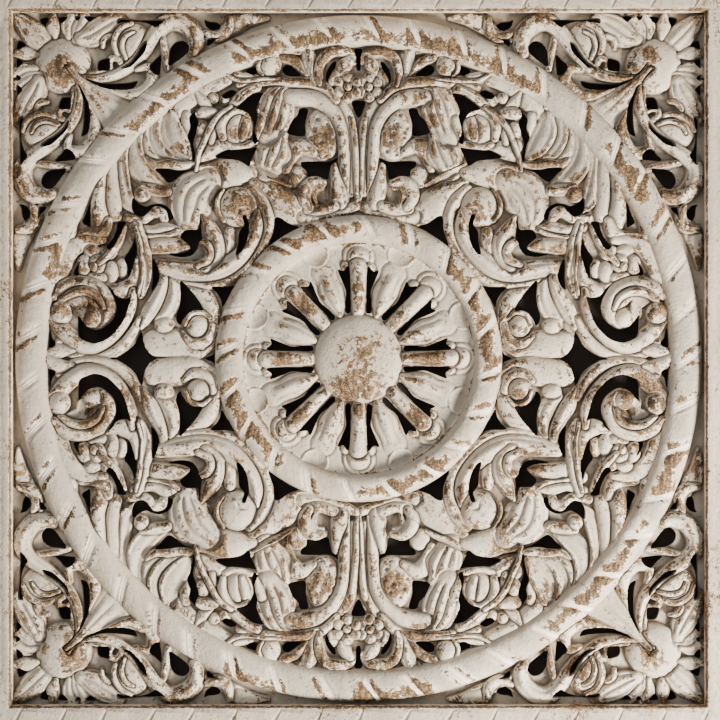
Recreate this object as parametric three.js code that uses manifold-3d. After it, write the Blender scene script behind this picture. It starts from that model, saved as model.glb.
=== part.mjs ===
// A carved and pierced wooden wall panel: one carved board, held in a rebate behind a frame of four
// mitred rails. Millimetres, +Z up. The panel hangs flat on a wall in the XZ plane: its back is the
// plane y = 0, its carved face looks towards -Y, and the origin is the centre of its back.
//
// The carving is laid out on a flat plan, x to the right and y up, with height standing off the wall
// along z. One turn of the group at the end stands the plan up. Places on the board are counted in
// steps of the carver's grid from its centre, and heights are in millimetres.

import * as THREE from 'three';
import { mergeVertices } from 'three/addons/utils/BufferGeometryUtils.js';
import Module from 'manifold-3d';

const wasm = await Module();
wasm.setup();

// Driving dimensions, in millimetres.
const PANEL_SIDE = 610;
const RAIL_WIDTH = 30;
const RAIL_DEPTH = 24;
const RAIL_ROUND = 4;
const REBATE_WIDTH = 5;
const BOARD_DEPTH = 12;
const FIT_GAP = 0.3;
const GRID = 0.8;
const SIGHT = PANEL_SIDE / 2 - RAIL_WIDTH;

// Heights off the wall, in millimetres.
const DISH_TOP = 9;
const RING_TOP = 19;
const RING_SHOULDER = 14;
const ROOT = 6;
const FEATHER = BOARD_DEPTH - 0.8;

// Grid steps.
const OUTER_RING = { inner: 310, outer: 342, cuts: 45 };
const INNER_RING = { inner: 115, outer: 143, cuts: 20 };
const SPOKES = 8;

// The grooves between the strands of each rope ring: three-sided cuts, in millimetres.
const GROOVE_RADIUS = 3;
const GROOVE_DEPTH = 2.5;
const GROOVE_SLANT = THREE.MathUtils.degToRad(38);

const WOOD = { color: 0xb6afa5, roughness: 0.82, metalness: 0 };

// Solids

function toSolid(geometry) {
  const bare = geometry.clone();
  bare.deleteAttribute('normal');
  bare.deleteAttribute('uv');
  const merged = mergeVertices(bare, 1e-4);
  return new wasm.Manifold(new wasm.Mesh({
    numProp: 3,
    vertProperties: merged.attributes.position.array,
    triVerts: new Uint32Array(merged.index.array),
  }));
}

function toGeometry(body) {
  const mesh = body.getMesh();
  const geometry = new THREE.BufferGeometry();
  geometry.setAttribute('position', new THREE.BufferAttribute(new Float32Array(mesh.vertProperties), 3));
  geometry.setIndex(new THREE.BufferAttribute(new Uint32Array(mesh.triVerts), 1));
  const faceted = geometry.toNonIndexed();
  faceted.computeVertexNormals();
  return faceted;
}

function join(bodies) {
  return bodies.reduce((whole, body) => whole.add(body));
}

// The one real body of a cut or a join, without the crumbs that rounding can leave on a seam.
function largest(body) {
  const pieces = body.decompose();
  return pieces.reduce((most, piece) => (piece.volume() > most.volume() ? piece : most));
}

// An outline in grid steps, extruded from one height to another.
function slab(outline, from, to) {
  const shape = new THREE.Shape(outline.map(([x, y]) => new THREE.Vector2(x * GRID, y * GRID)));
  const geometry = new THREE.ExtrudeGeometry(shape, { depth: to - from, bevelEnabled: false });
  geometry.translate(0, 0, from);
  return toSolid(geometry);
}

// A carved strand along a smooth line in grid steps: a box, two cells wide and a few long, is bent
// along the line. Half widths and crest heights are spread evenly from one end to the other. Its
// edges are lower than its crest, and a leaf's edges run out into the board.
function strand({ line, half, crest, edge = [FEATHER, FEATHER], steps }) {
  const curve = new THREE.SplineCurve(line.map(([x, y]) => new THREE.Vector2(x, y)));
  const box = new THREE.BoxGeometry(2, 1, 1, 2, 1, steps).translate(0, 0.5, 0.5);
  const place = box.attributes.position;
  for (let i = 0; i < place.count; i += 1) {
    const along = place.getZ(i);
    const side = place.getX(i);
    const centre = curve.getPoint(along);
    const heading = curve.getTangent(along);
    const reach = side * spread(half, along);
    const rim = spread(edge, along);
    const top = side === 0 ? spread(crest, along) : rim;
    const height = place.getY(i) > 0.5 ? top : ROOT;
    place.setXYZ(i, (centre.x - heading.y * reach) * GRID, (centre.y + heading.x * reach) * GRID, height);
  }
  return toSolid(box);
}

function spread(values, along) {
  const at = along * (values.length - 1);
  const low = Math.min(Math.floor(at), values.length - 2);
  return THREE.MathUtils.lerp(values[low], values[low + 1], at - low);
}

// A round knob with a sloping shoulder and a flat or domed top.
function knob({ at: [x, y], radius, top, sides, rings }) {
  const profile = [new THREE.Vector2(0, ROOT), new THREE.Vector2(radius * GRID, ROOT)];
  const rise = top - BOARD_DEPTH;
  for (let ring = 0; ring < rings; ring += 1) {
    const turn = (ring / rings) * (Math.PI / 2);
    const out = radius * GRID * Math.cos(turn);
    profile.push(new THREE.Vector2(out, BOARD_DEPTH + rise * Math.sin(turn)));
  }
  profile.push(new THREE.Vector2(0, top));
  const geometry = new THREE.LatheGeometry(profile, sides);
  geometry.rotateX(Math.PI / 2);
  geometry.translate(x * GRID, y * GRID, 0);
  return toSolid(geometry);
}

function mirrored(body, [x, y]) {
  return body.mirror([x, y, 0]);
}

// The pierced openings of one quarter of the fretwork, from the top middle round to the right.

const FRET_OPENINGS = [
  [[-6, 309], [0, 284], [6, 309]],
  [[-7, 254], [0, 242], [7, 254]],
  [[50, 284], [60, 293], [72, 288], [62, 281]],
  [[86, 269], [104, 265], [118, 250], [103, 226], [94, 258]],
  [[102, 212], [120, 213], [143, 200], [110, 192]],
  [[48, 249], [58, 250], [67, 228], [53, 223]],
  [[20, 203], [30, 197], [54, 197], [48, 180], [31, 180]],
  [[163, 191], [201, 192], [188, 174]],
  [[186, 140], [191, 151], [205, 156], [224, 161], [220, 146], [204, 148]],
  [[259, 171], [273, 147], [268, 136]],
  [[109, 145], [119, 128], [122, 106], [112, 117]],
  [[156, 117], [159, 130], [175, 128], [168, 114], [176, 105]],
  [[58, 132], [79, 142], [86, 115]],
  [[124, 72], [142, 71], [134, 50]],
  [[155, 49], [177, 78], [181, 44], [178, 33]],
  [[222, 118], [233, 101], [232, 80], [222, 92]],
  [[230, 133], [239, 134], [248, 118], [243, 110]],
  [[227, 61], [231, 40], [245, 22], [262, 16], [279, 21], [279, 38], [266, 31], [252, 36], [245, 60]],
  [[205, 0], [216, 26], [226, 12], [244, 0], [230, -3]],
  [[-7, 143], [0, 151], [7, 143]],
];

// The strands of one quarter of the fretwork, in the same order.

const FRET_STRANDS = {
  palmetteLoop: {
    line: [[4, 284], [8, 301], [21, 307], [34, 298], [37, 278]],
    half: [4, 6, 5, 7, 4], crest: [16, 17], steps: 3,
  },
  budScroll: {
    line: [[42, 284], [56, 299], [76, 304], [90, 295], [82, 280]],
    half: [4, 7, 9, 10, 6], crest: [15, 17], steps: 3,
  },
  lyreStem: {
    line: [[130, 280], [104, 270], [78, 274], [40, 268], [18, 250], [10, 225], [7, 195], [5, 160]],
    half: [3, 5, 8, 9, 8, 8, 7, 5], crest: [14, 17, 17], edge: [12.5, 14, 13], steps: 4,
  },
  flutedLeaf: {
    line: [[74, 272], [78, 245], [100, 215]],
    half: [14, 17, 1], crest: [16, 16, 13], steps: 2,
  },
  commaLeaf: {
    line: [[48, 213], [72, 216], [94, 205], [100, 185], [84, 160], [48, 147]],
    half: [3, 8, 14, 17, 13, 6], crest: [14, 17, 17, 14], steps: 4,
  },
  slantingStem: {
    line: [[88, 272], [118, 256], [147, 228], [162, 200]],
    half: [4, 4, 4, 3], crest: [14, 16, 14], steps: 2,
  },
  tulipBud: {
    line: [[126, 248], [118, 234], [101, 214]],
    half: [12, 12, 1], crest: [15, 16, 13], steps: 2,
  },
  acanthusFirst: {
    line: [[198, 250], [182, 225], [164, 194]],
    half: [12, 10, 1], crest: [15, 15, 13], steps: 2,
  },
  acanthusSecond: {
    line: [[218, 232], [218, 195], [189, 161]],
    half: [10, 11, 1], crest: [16, 16, 13], steps: 2,
  },
  acanthusThird: {
    line: [[238, 206], [239, 168], [223, 136]],
    half: [9, 9, 3], crest: [16, 17, 14], steps: 2,
  },
  acanthusFourth: {
    line: [[254, 188], [258, 150], [262, 122], [244, 116]],
    half: [6, 7, 6, 6], crest: [16, 18, 16], steps: 2,
  },
  shell: {
    line: [[134, 166], [160, 172], [184, 152]],
    half: [6, 16, 12], crest: [16, 17, 15], steps: 2,
  },
  middleScroll: {
    line: [[190, 96], [163, 92], [137, 90], [113, 103], [101, 135], [108, 160], [127, 158]],
    half: [4, 7, 9, 11, 12, 8, 6], crest: [15, 18, 18, 17], steps: 5,
  },
  pointedLeaf: {
    line: [[208, 112], [190, 113], [167, 113]],
    half: [8, 8, 1], crest: [14, 16, 13], steps: 2,
  },
  smallScroll: {
    line: [[182, 75], [160, 62], [146, 42], [152, 24], [166, 28]],
    half: [5, 8, 7, 7, 6], crest: [15, 18, 17], steps: 4,
  },
  hangingLeaf: {
    line: [[197, 98], [189, 68], [204, 30]],
    half: [6, 12, 8], crest: [15, 15], steps: 2,
  },
  blossomBand: {
    line: [[262, 116], [288, 110], [297, 88]],
    half: [5, 8, 7], crest: [15, 15], steps: 2,
  },
  largeScroll: {
    line: [[217, 64], [227, 34], [253, 9], [285, 12], [301, 40], [292, 68], [262, 68], [255, 44]],
    half: [4, 7, 8, 8, 7, 8, 9, 8], crest: [15, 18, 18, 17], steps: 7,
  },
};

const FRET_KNOBS = {
  floret: { at: [13, 272], radius: 13, top: 17, sides: 6, rings: 1 },
  seedPod: { at: [33, 225], radius: 11, top: 17, sides: 8, rings: 1 },
  middleScrollEye: { at: [120, 148], radius: 14, top: 16, sides: 8, rings: 1 },
  smallScrollEye: { at: [158, 33], radius: 10, top: 16, sides: 6, rings: 1 },
  blossom: { at: [257, 94], radius: 18, top: 16, sides: 10, rings: 1 },
};

// Half of one corner spray, on the upper side of the corner's diagonal.

const CORNER_OPENINGS = [
  [[221, 276], [240, 274], [273, 280], [248, 269], [229, 269]],
  [[165, 310], [172, 317], [184, 312], [185, 293]],
  [[191, 301], [198, 302], [204, 291], [200, 284]],
  [[207, 318], [214, 313], [234, 289], [226, 290]],
  [[243, 305], [258, 300], [259, 288], [249, 288]],
  [[133, 330], [139, 337], [152, 335], [140, 326]],
];

const CORNER_STRANDS = {
  hookedStem: {
    line: [[284, 284], [262, 281], [240, 284], [219, 298], [203, 318], [184, 333], [166, 329], [160, 314]],
    half: [3, 4, 5, 6, 7, 8, 10, 7], crest: [15, 15, 16, 16], steps: 5,
  },
  stripedBud: {
    line: [[234, 294], [229, 315], [211, 328]],
    half: [3, 13, 6], crest: [14, 17, 14], steps: 2,
  },
  widePetal: {
    line: [[264, 305], [256, 320], [238, 339]],
    half: [6, 13, 5], crest: [15, 16, 13], steps: 2,
  },
  edgeLeaf: {
    line: [[148, 322], [128, 333], [98, 337]],
    half: [6, 8, 3], crest: [15, 15, 13], steps: 2,
  },
};

const SCALLOP_LOBE = { at: [282, 329], radius: 10, top: 15, sides: 6, rings: 1 };

// The middle of one corner spray, on the corner's diagonal.

const CORNER_DOME = { at: [293, 293], radius: 31, top: 21, sides: 12, rings: 2 };

const SPEAR_LEAF = {
  line: [[308, 308], [324, 324], [340, 340]],
  half: [8, 11, 4], crest: [15, 16, 13], steps: 2,
};

const FAN_LEAF = {
  line: [[287, 287], [266, 266], [244, 244]],
  half: [4, 10, 25], crest: [17, 15, 15], steps: 2,
};

// Board

function opening(outline) {
  return slab(outline, -1, RING_TOP + 9);
}

// The same carving in all four quarters of the board, mirrored across both of its middle lines.
function fourWays(quarter) {
  const half = quarter.add(mirrored(quarter, [1, 0]));
  return half.add(mirrored(half, [0, 1]));
}

function fretwork() {
  return join([...Object.values(FRET_STRANDS).map(strand), ...Object.values(FRET_KNOBS).map(knob)]);
}

function cornerSpray() {
  const half = join([...Object.values(CORNER_STRANDS).map(strand), knob(SCALLOP_LOBE)]);
  return join([half, mirrored(half, [1, -1]), knob(CORNER_DOME), strand(SPEAR_LEAF), strand(FAN_LEAF)]);
}

function openings() {
  const corner = join(CORNER_OPENINGS.map(opening));
  return join([...FRET_OPENINGS.map(opening), corner, mirrored(corner, [1, -1])]);
}

function ground() {
  const side = (SIGHT + REBATE_WIDTH) / GRID;
  return slab([[-side, -side], [side, -side], [side, side], [-side, side]], 0, BOARD_DEPTH);
}

// A ring of rounded rope, with a slanting groove between one strand and the next.
function ropeRing({ inner, outer, cuts }) {
  const middle = (inner + outer) / 2;
  const profile = [
    [inner, ROOT], [outer, ROOT], [outer, RING_SHOULDER], [middle, RING_TOP], [inner, RING_SHOULDER], [inner, ROOT],
  ].map(([reach, height]) => new THREE.Vector2(reach * GRID, height));
  const ring = new THREE.LatheGeometry(profile, cuts).rotateX(Math.PI / 2);
  const groove = new THREE.CylinderGeometry(GROOVE_RADIUS, GROOVE_RADIUS, (outer - inner) * 1.6 * GRID, 3);
  const grooves = [];
  for (let cut = 0; cut < cuts; cut += 1) {
    const body = groove.clone();
    body.rotateY(Math.PI);
    body.rotateZ(Math.PI / 2 + GROOVE_SLANT);
    body.translate(middle * GRID, 0, RING_TOP + GROOVE_RADIUS - GROOVE_DEPTH);
    body.rotateZ(((cut + 0.5) / cuts) * Math.PI * 2);
    grooves.push(toSolid(body));
  }
  return toSolid(ring).subtract(join(grooves));
}

// The rosette: a dished disc with a domed boss, spokes that end in round heads, and pointed petals
// between them, with a slot through the board on each side of every spoke.

const BOSS = { at: [0, 0], radius: 43, top: 19, sides: 24, rings: 2 };

const SPOKE = { line: [[40, 0], [66, 0], [92, 0]], half: [6, 8, 10], crest: [14, 14], edge: [13, 13], steps: 1 };

const SPOKE_HEAD = { at: [100, 0], radius: 13, top: 15, sides: 6, rings: 1 };

const ROSETTE_PETAL = {
  line: [[44, 0], [64, 0], [84, 0]],
  half: [1, 12, 15], crest: [11, 13, 10.5], edge: [10, 11, 9], steps: 2,
};

const ROSETTE_SLOT = [[45, 8], [45, 14], [58, 13], [82, 18], [82, 10], [58, 9.5]];

function turned(body, turn) {
  return body.rotate([0, 0, (turn / SPOKES) * 360]);
}

function rosette() {
  const spoke = strand(SPOKE).add(knob(SPOKE_HEAD));
  const petal = strand(ROSETTE_PETAL).rotate([0, 0, 360 / SPOKES / 2]);
  const bodies = [knob(BOSS)];
  for (let turn = 0; turn < SPOKES; turn += 1) {
    bodies.push(turned(spoke.add(petal), turn));
  }
  return join(bodies);
}

function rosetteSlots() {
  const slot = opening(ROSETTE_SLOT);
  const both = slot.add(mirrored(slot, [0, 1]));
  const slots = [];
  for (let turn = 0; turn < SPOKES; turn += 1) {
    slots.push(turned(both, turn));
  }
  return join(slots);
}

function dish() {
  const reach = (INNER_RING.inner + 1) * GRID;
  const tool = new THREE.CylinderGeometry(reach, reach, 30, 44).rotateX(Math.PI / 2);
  tool.translate(0, 0, DISH_TOP + 15);
  return toSolid(tool);
}

function carvedBoard() {
  const relief = fourWays(fretwork().add(cornerSpray()));
  const pierced = ground().add(relief).subtract(fourWays(openings())).subtract(dish());
  const whole = join([pierced, ropeRing(OUTER_RING), ropeRing(INNER_RING), rosette()]);
  return largest(whole.subtract(rosetteSlots()));
}

// Frame

// One rail along the bottom of the panel, cut to a mitre at each end, with a rebate behind its
// inner edge for the board.
function rail() {
  const rim = PANEL_SIDE / 2;
  const deep = BOARD_DEPTH + FIT_GAP;
  const back = SIGHT + REBATE_WIDTH + FIT_GAP;
  const section = new THREE.Shape([
    new THREE.Vector2(back, 0),
    new THREE.Vector2(rim, 0),
    new THREE.Vector2(rim, RAIL_DEPTH - RAIL_ROUND),
    new THREE.Vector2(rim - RAIL_ROUND * 2, RAIL_DEPTH),
    new THREE.Vector2(SIGHT + RAIL_ROUND * 2, RAIL_DEPTH),
    new THREE.Vector2(SIGHT, RAIL_DEPTH - RAIL_ROUND),
    new THREE.Vector2(SIGHT, deep),
    new THREE.Vector2(back, deep),
  ]);
  const length = new THREE.ExtrudeGeometry(section, { depth: PANEL_SIDE, bevelEnabled: false });
  length.translate(0, 0, -rim);
  length.rotateX(Math.PI / 2);
  const mitre = FIT_GAP / 2;
  const reach = rim + 1;
  const wedge = new THREE.ExtrudeGeometry(new THREE.Shape([
    new THREE.Vector2(mitre * Math.SQRT2, 0),
    new THREE.Vector2(reach, -(reach - mitre * Math.SQRT2)),
    new THREE.Vector2(reach, reach - mitre * Math.SQRT2),
  ]), { depth: RAIL_DEPTH + 2, bevelEnabled: false });
  wedge.translate(0, 0, -1);
  return toSolid(length).intersect(toSolid(wedge));
}

// Assembly

function part(name, body) {
  const mesh = new THREE.Mesh(toGeometry(body), new THREE.MeshStandardMaterial(WOOD));
  mesh.name = name;
  return mesh;
}

const group = new THREE.Group();
group.rotation.x = Math.PI / 2;

group.add(part('carved_board', carvedBoard()));

['frame_rail_right', 'frame_rail_top', 'frame_rail_left', 'frame_rail_bottom'].forEach((name, turn) => {
  group.add(part(name, rail().rotate([0, 0, turn * 90])));
});

export default group;
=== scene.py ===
"""The looks of a carved and whitewashed wooden wall panel, as Blender objects.

The board is a relief: every leaf, scroll and stem is a stroke laid over a plan of the board, as a
carver lays out a drawing, and the openings are sawn through it. Places on the plan are in steps of
the carver's grid from the board's centre, x to the right and z up, and heights off the wall are in
millimetres. The finished meshes are in metres, in the frame of the construction.
"""

import logging
import math
from dataclasses import dataclass
from enum import Enum
from typing import Callable, Sequence

import bpy
import numpy as np
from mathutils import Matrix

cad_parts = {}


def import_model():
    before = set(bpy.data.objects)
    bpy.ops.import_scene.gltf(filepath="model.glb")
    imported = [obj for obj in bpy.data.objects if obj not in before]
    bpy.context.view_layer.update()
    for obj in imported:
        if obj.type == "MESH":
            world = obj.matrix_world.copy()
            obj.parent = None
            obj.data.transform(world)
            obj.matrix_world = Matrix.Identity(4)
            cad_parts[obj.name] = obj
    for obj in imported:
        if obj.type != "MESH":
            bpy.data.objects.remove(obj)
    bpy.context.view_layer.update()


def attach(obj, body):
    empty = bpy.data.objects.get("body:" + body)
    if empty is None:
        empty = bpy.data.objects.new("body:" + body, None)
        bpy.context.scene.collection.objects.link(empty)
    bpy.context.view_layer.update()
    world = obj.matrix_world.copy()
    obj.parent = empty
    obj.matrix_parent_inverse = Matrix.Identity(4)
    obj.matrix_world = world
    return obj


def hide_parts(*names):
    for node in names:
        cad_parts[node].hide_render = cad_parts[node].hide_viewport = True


log = logging.getLogger("panel")

Point = tuple[float, float]

# The grid step and the millimetre in metres, then the half widths of the frame's opening and of
# the board in steps, and the heights of the board's edge and ground in millimetres.
GRID = 0.0008
MILLIMETRE = 0.001
SIGHT = 343.75
BOARD_HALF = 350.0
BOARD_DEPTH = 12.0
GROUND = 6.5
ROSETTE_GROUND = 9.5

# The share by which a motif's edge drops below the stated edge as its crest rises above it.
UNDERCUT = 0.4

# How worn and how darkened the plain back is. The walls of the openings and the other sides blend from the
# face's values to these, so they darken towards the back.
BACK_WEAR = 0.2
BACK_DARKENING = 0.9

SEED = 41
FAR = 1e9
TINY = 1e-9


class Section(Enum):
    """The shape of a stroke's cut across its width."""

    ROUND = "round"
    BANK = "bank"
    FLAT = "flat"


def section_height(section: Section, across: np.ndarray) -> np.ndarray:
    """Give a section's height, from 0 at its lowest edge to 1 at its crest.

    Args:
        section: The shape of the cut.
        across: Places across the stroke, from -1 on the right to 1 on the left.

    Returns:
        The heights at those places.
    """
    u = np.clip(across, -1.0, 1.0)
    if section is Section.BANK:
        edge = np.clip((1.0 - np.abs(u)) / 0.3, 0.0, 1.0)
        return np.sqrt(edge * (2.0 - edge)) * (0.62 + 0.38 * u)
    if section is Section.FLAT:
        edge = np.clip((1.0 - np.abs(u)) / 0.35, 0.0, 1.0)
        return np.sqrt(edge * (2.0 - edge))
    return np.sqrt(np.clip(1.0 - u * u, 0.0, 1.0))


def smooth_line(points: Sequence[Point], closed: bool, pieces: int) -> np.ndarray:
    """Lay a smooth line through a few points.

    Args:
        points: The points that the line passes through.
        closed: Whether the line comes back to its first point.
        pieces: The number of short straight pieces between one point and the next.

    Returns:
        The line's points, one row each.
    """
    knots = np.asarray(points, dtype=float)
    count = len(knots)
    if closed:
        padded = np.vstack([knots[-1], knots, knots[0], knots[1]])
        spans = count
    else:
        first = 2.0 * knots[0] - knots[1]
        last = 2.0 * knots[-1] - knots[-2]
        padded = np.vstack([first, knots, last])
        spans = count - 1
    steps = np.arange(pieces) / pieces
    rows = []
    for span in range(spans):
        a, b, c, d = padded[span : span + 4]
        t = steps[:, None]
        rows.append(
            0.5 * (2.0 * b + (c - a) * t + (2.0 * a - 5.0 * b + 4.0 * c - d) * t**2
                   + (3.0 * b - a - 3.0 * c + d) * t**3)
        )
    if not closed:
        rows.append(knots[-1:])
    return np.vstack(rows)


def soft_noise(count: int, cells: int, seed: int) -> np.ndarray:
    """Make a square field of smooth noise.

    Args:
        count: The number of places along each side.
        cells: The number of waves along each side, roughly.
        seed: The seed of the random numbers.

    Returns:
        Values from about -1 to 1.
    """
    rng = np.random.default_rng(seed)
    knots = rng.uniform(-1.0, 1.0, (cells + 2, cells + 2))
    at = np.linspace(0.0, cells, count)
    low = np.floor(at).astype(int)
    part = at - low
    part = part * part * (3.0 - 2.0 * part)
    rows = knots[low] * (1.0 - part)[:, None] + knots[low + 1] * part[:, None]
    return rows[:, low] * (1.0 - part)[None, :] + rows[:, low + 1] * part[None, :]


def blurred(values: np.ndarray, reach: int) -> np.ndarray:
    """Blur a field by two passes of a sliding mean along each axis.

    Args:
        values: The field.
        reach: The half width of the sliding mean, in places.

    Returns:
        The blurred field.
    """
    width = 2 * reach + 1
    result = values.astype(float)
    for _ in range(2):
        for axis in (0, 1):
            pad = [(0, 0), (0, 0)]
            pad[axis] = (reach + 1, reach)
            sums = np.cumsum(np.pad(result, pad, mode="edge"), axis=axis)
            high = np.take(sums, range(width, sums.shape[axis]), axis=axis)
            low = np.take(sums, range(0, sums.shape[axis] - width), axis=axis)
            result = (high - low) / width
    return result


@dataclass(frozen=True)
class Stroke:
    """One carved strand, leaf or rim, laid along a smooth line on the plan."""

    line: tuple[Point, ...]
    half: tuple[float, ...]
    crest: tuple[float, ...] = (16.0,)
    edge: float = 10.5
    section: Section = Section.ROUND
    flutes: int = 0
    flute_depth: float = 1.0
    groove: float = 1.4

    def moved(self, place: Callable[[Point], Point]) -> "Stroke":
        """Give the same stroke with each point of its line moved."""
        return Stroke(
            tuple(place(point) for point in self.line), self.half, self.crest, self.edge,
            self.section, self.flutes, self.flute_depth, self.groove,
        )


@dataclass(frozen=True)
class Knob:
    """One round or oval boss, such as a petal, an eye or a seed pod."""

    centre: Point
    radii: Point
    top: float = 16.0
    edge: float = 11.0
    section: Section = Section.ROUND
    groove: float = 1.4
    dots: float = 0.0

    def moved(self, place: Callable[[Point], Point]) -> "Knob":
        """Give the same boss at another place, turned if the place swaps the axes."""
        centre = place(self.centre)
        along = place((self.centre[0] + 1.0, self.centre[1]))
        swapped = abs(along[0] - centre[0]) < 0.5
        radii = (self.radii[1], self.radii[0]) if swapped else self.radii
        return Knob(centre, radii, self.top, self.edge, self.section, self.groove, self.dots)


Motif = Stroke | Knob


def mirrored_places(on_diagonal: bool) -> list[Callable[[Point], Point]]:
    """List the ways one quarter's points are carried into all four quarters.

    Args:
        on_diagonal: Whether each quarter also repeats across its own diagonal.

    Returns:
        One function for each copy.
    """
    places: list[Callable[[Point], Point]] = []
    for across in (1.0, -1.0):
        for up in (1.0, -1.0):
            places.append(lambda p, a=across, b=up: (a * p[0], b * p[1]))
            if on_diagonal:
                places.append(lambda p, a=across, b=up: (a * p[1], b * p[0]))
    return places


# The drawing of one quarter: x to the right and z up from the centre, in grid steps.

PALMETTE: tuple[Motif, ...] = (
    Stroke(((41, 274), (46, 288), (49, 300), (52, 312)), (3, 7, 8, 4), (15,), flutes=2, flute_depth=0.9),
    Stroke(((38, 273), (40, 284), (37, 296), (31, 303), (22, 306), (12, 304), (5, 297)),
           (3, 5, 5.5, 6, 6, 6, 5), (15, 17, 17)),
    Stroke(((8, 298), (13, 292), (17, 284)), (5, 7, 5), (14.5,), groove=0.8),
    Knob((25, 279), (7, 9), 14.5),
    *(Knob((11 + 9.5 * math.cos(math.radians(turn)), 270 + 9.5 * math.sin(math.radians(turn))),
           (5.8, 5.8), 14.5, groove=1.0) for turn in range(30, 390, 60)),
    Knob((11, 270), (4.5, 4.5), 15.5, groove=2.0),
)

BUD_SCROLL: tuple[Motif, ...] = (
    Stroke(((54, 303), (66, 306), (80, 307)), (2, 3, 3), (14,)),
    Stroke(((98, 300), (114, 298), (132, 288)), (3, 6, 5), (14,), section=Section.FLAT),
    Stroke(((96, 279), (112, 280), (130, 284)), (3, 5, 5), (14.5,), flutes=2, flute_depth=0.7),
    Stroke(((50, 281), (57, 290), (66, 297), (79, 301)), (2.5, 4.5, 5, 5), (15, 16)),
    Knob((89, 292), (12, 14), 17),
    Stroke(((92, 303), (98, 296), (99, 288), (94, 281)), (1.5, 2.5, 2.5, 1.5), (16.5,), groove=0.8),
)

LYRE: tuple[Motif, ...] = (
    Stroke(((32, 265), (20, 252), (12, 238), (9, 218), (9, 195), (7, 168)), (5, 7, 8, 9.5, 9.5, 7),
           (12.5,), section=Section.FLAT),
    Stroke(((7, 238), (4, 217), (2.5, 195), (2, 172), (1, 157)), (3, 3.5, 3.5, 3, 2), (14,), groove=0.8),
    Stroke(((12, 154), (14, 172), (14.5, 193), (15, 212), (18, 230), (27, 247), (41, 258), (56, 261),
            (67, 261)),
           (4, 5.5, 6, 6, 6.5, 7.5, 9, 9.5, 8), (15, 16, 16.5, 16.5, 16, 14.5)),
    Stroke(((22, 257), (33, 269), (45, 274), (60, 275.5), (76, 276), (90, 275), (105, 273), (119, 271)),
           (4, 5.5, 6, 5.5, 5, 4.5, 4.5, 3), (15.5, 16.5, 15)),
    Stroke(((78, 278), (92, 278), (106, 276), (120, 277), (132, 284)), (1.5, 2.5, 2.5, 2.5, 2),
            (16,), groove=0.8),
)

SEED_POD: tuple[Motif, ...] = (
    Knob((34.5, 224), (18, 27), 15.5, dots=1.0),
)

FLUTED_LEAF: tuple[Motif, ...] = (
    Stroke(((72, 271), (79, 257), (84, 241), (90, 223)), (9, 17, 19, 13), (15.5, 16.5, 15.5, 13.5),
           flutes=4, flute_depth=2.0, groove=1.0),
    Stroke(((96, 238), (99, 228), (102, 216)), (5, 5, 1.5), (14,), groove=0.8),
)

COMMA_LEAF: tuple[Motif, ...] = (
    Stroke(((107, 194), (101, 178), (90, 163), (76, 152), (62, 144), (46, 140)), (4, 10, 15, 17, 14, 8),
           (14.5, 15.5, 15.5, 14), groove=0.9),
    Knob((61, 180), (10, 11), 13.5),
    Stroke(((45, 205), (57, 211), (68, 205), (73, 188)), (4, 8, 9, 5), (14.5,)),
    Stroke(((77, 222), (84, 207), (92, 187)), (8, 19, 13), (15.5, 17, 16.5), flutes=4, flute_depth=1.7),
    Stroke(((68, 172), (80, 178), (92, 183), (105, 191)), (2, 3.5, 4, 2), (16.5,), section=Section.BANK,
           groove=1.2),
)

BOWL: tuple[Motif, ...] = (
    Stroke(((3, 152), (16, 147), (34, 143), (56, 141)), (5, 6, 6, 7), (13.5,)),
    Stroke(((24, 194), (22, 179), (19, 165), (18, 155)), (2.5, 6, 8.5, 8), (14, 15.5, 15)),
    Stroke(((24, 152), (37, 148), (50, 149)), (6, 6, 6), (14.5,)),
    Stroke(((35, 175), (44, 176), (52, 169), (54, 158), (49, 150)), (4, 6, 7.5, 7, 5), (15.5, 16, 15)),
    Stroke(((35, 170), (42, 169), (45, 162), (42, 154)), (1.5, 2.5, 2.5, 1.5),
            (12.5,), edge=14.0, groove=0.3),
)

TULIP: tuple[Motif, ...] = (
    Stroke(((129, 216), (140, 210), (150, 204), (159, 197)), (4, 8, 8, 3), (14.5, 15, 13.5), flutes=2,
           flute_depth=0.7),
    Knob((133, 257), (6, 5.5), 14),
    Knob((144, 259), (6, 6), 14),
    Stroke(((148, 249), (155, 256), (162, 266)), (4, 6, 2), (14.5,)),
    Stroke(((142, 236), (145, 226), (146, 215)), (4, 5, 4), (14,)),
    Stroke(((144, 245), (154, 244), (165, 243)), (5, 7, 2), (15,)),
    Knob((155, 228), (7, 9), 15),
    Knob((157, 212), (6, 8), 14.5),
    Stroke(((100, 269), (112, 263), (124, 252)), (5, 6, 6), (15.5, 16, 15.5), flutes=3, flute_depth=1.1),
    Stroke(((101, 214), (112, 213), (122, 211), (133, 214)), (2, 4.5, 5, 4), (14,)),
    Knob((120, 230), (16, 17), 15.5),
    Stroke(((112, 238), (114, 228), (116, 219)), (5, 6, 4), (15,), groove=0.8),
    Stroke(((108, 242), (119, 247), (130, 243), (136, 232), (135, 219)), (3, 4, 5.5, 6, 4), (15.5, 17, 15.5),
           groove=1.0),
    Stroke(((126, 250), (137, 242), (146, 231), (153, 216), (159, 202), (162, 187)), (3, 3.5, 3.5, 3, 3, 2),
           (16, 17, 16)),
)

RING_STEM: tuple[Motif, ...] = (
    Stroke(((131, 279), (146, 272), (161, 263), (174, 254), (185, 243)), (7, 8, 9, 11, 9), (14, 15, 15)),
    Stroke(((186, 250), (192, 245), (191, 237), (184, 232)), (2, 3.5, 3.5, 2), (16,)),
)

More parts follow.
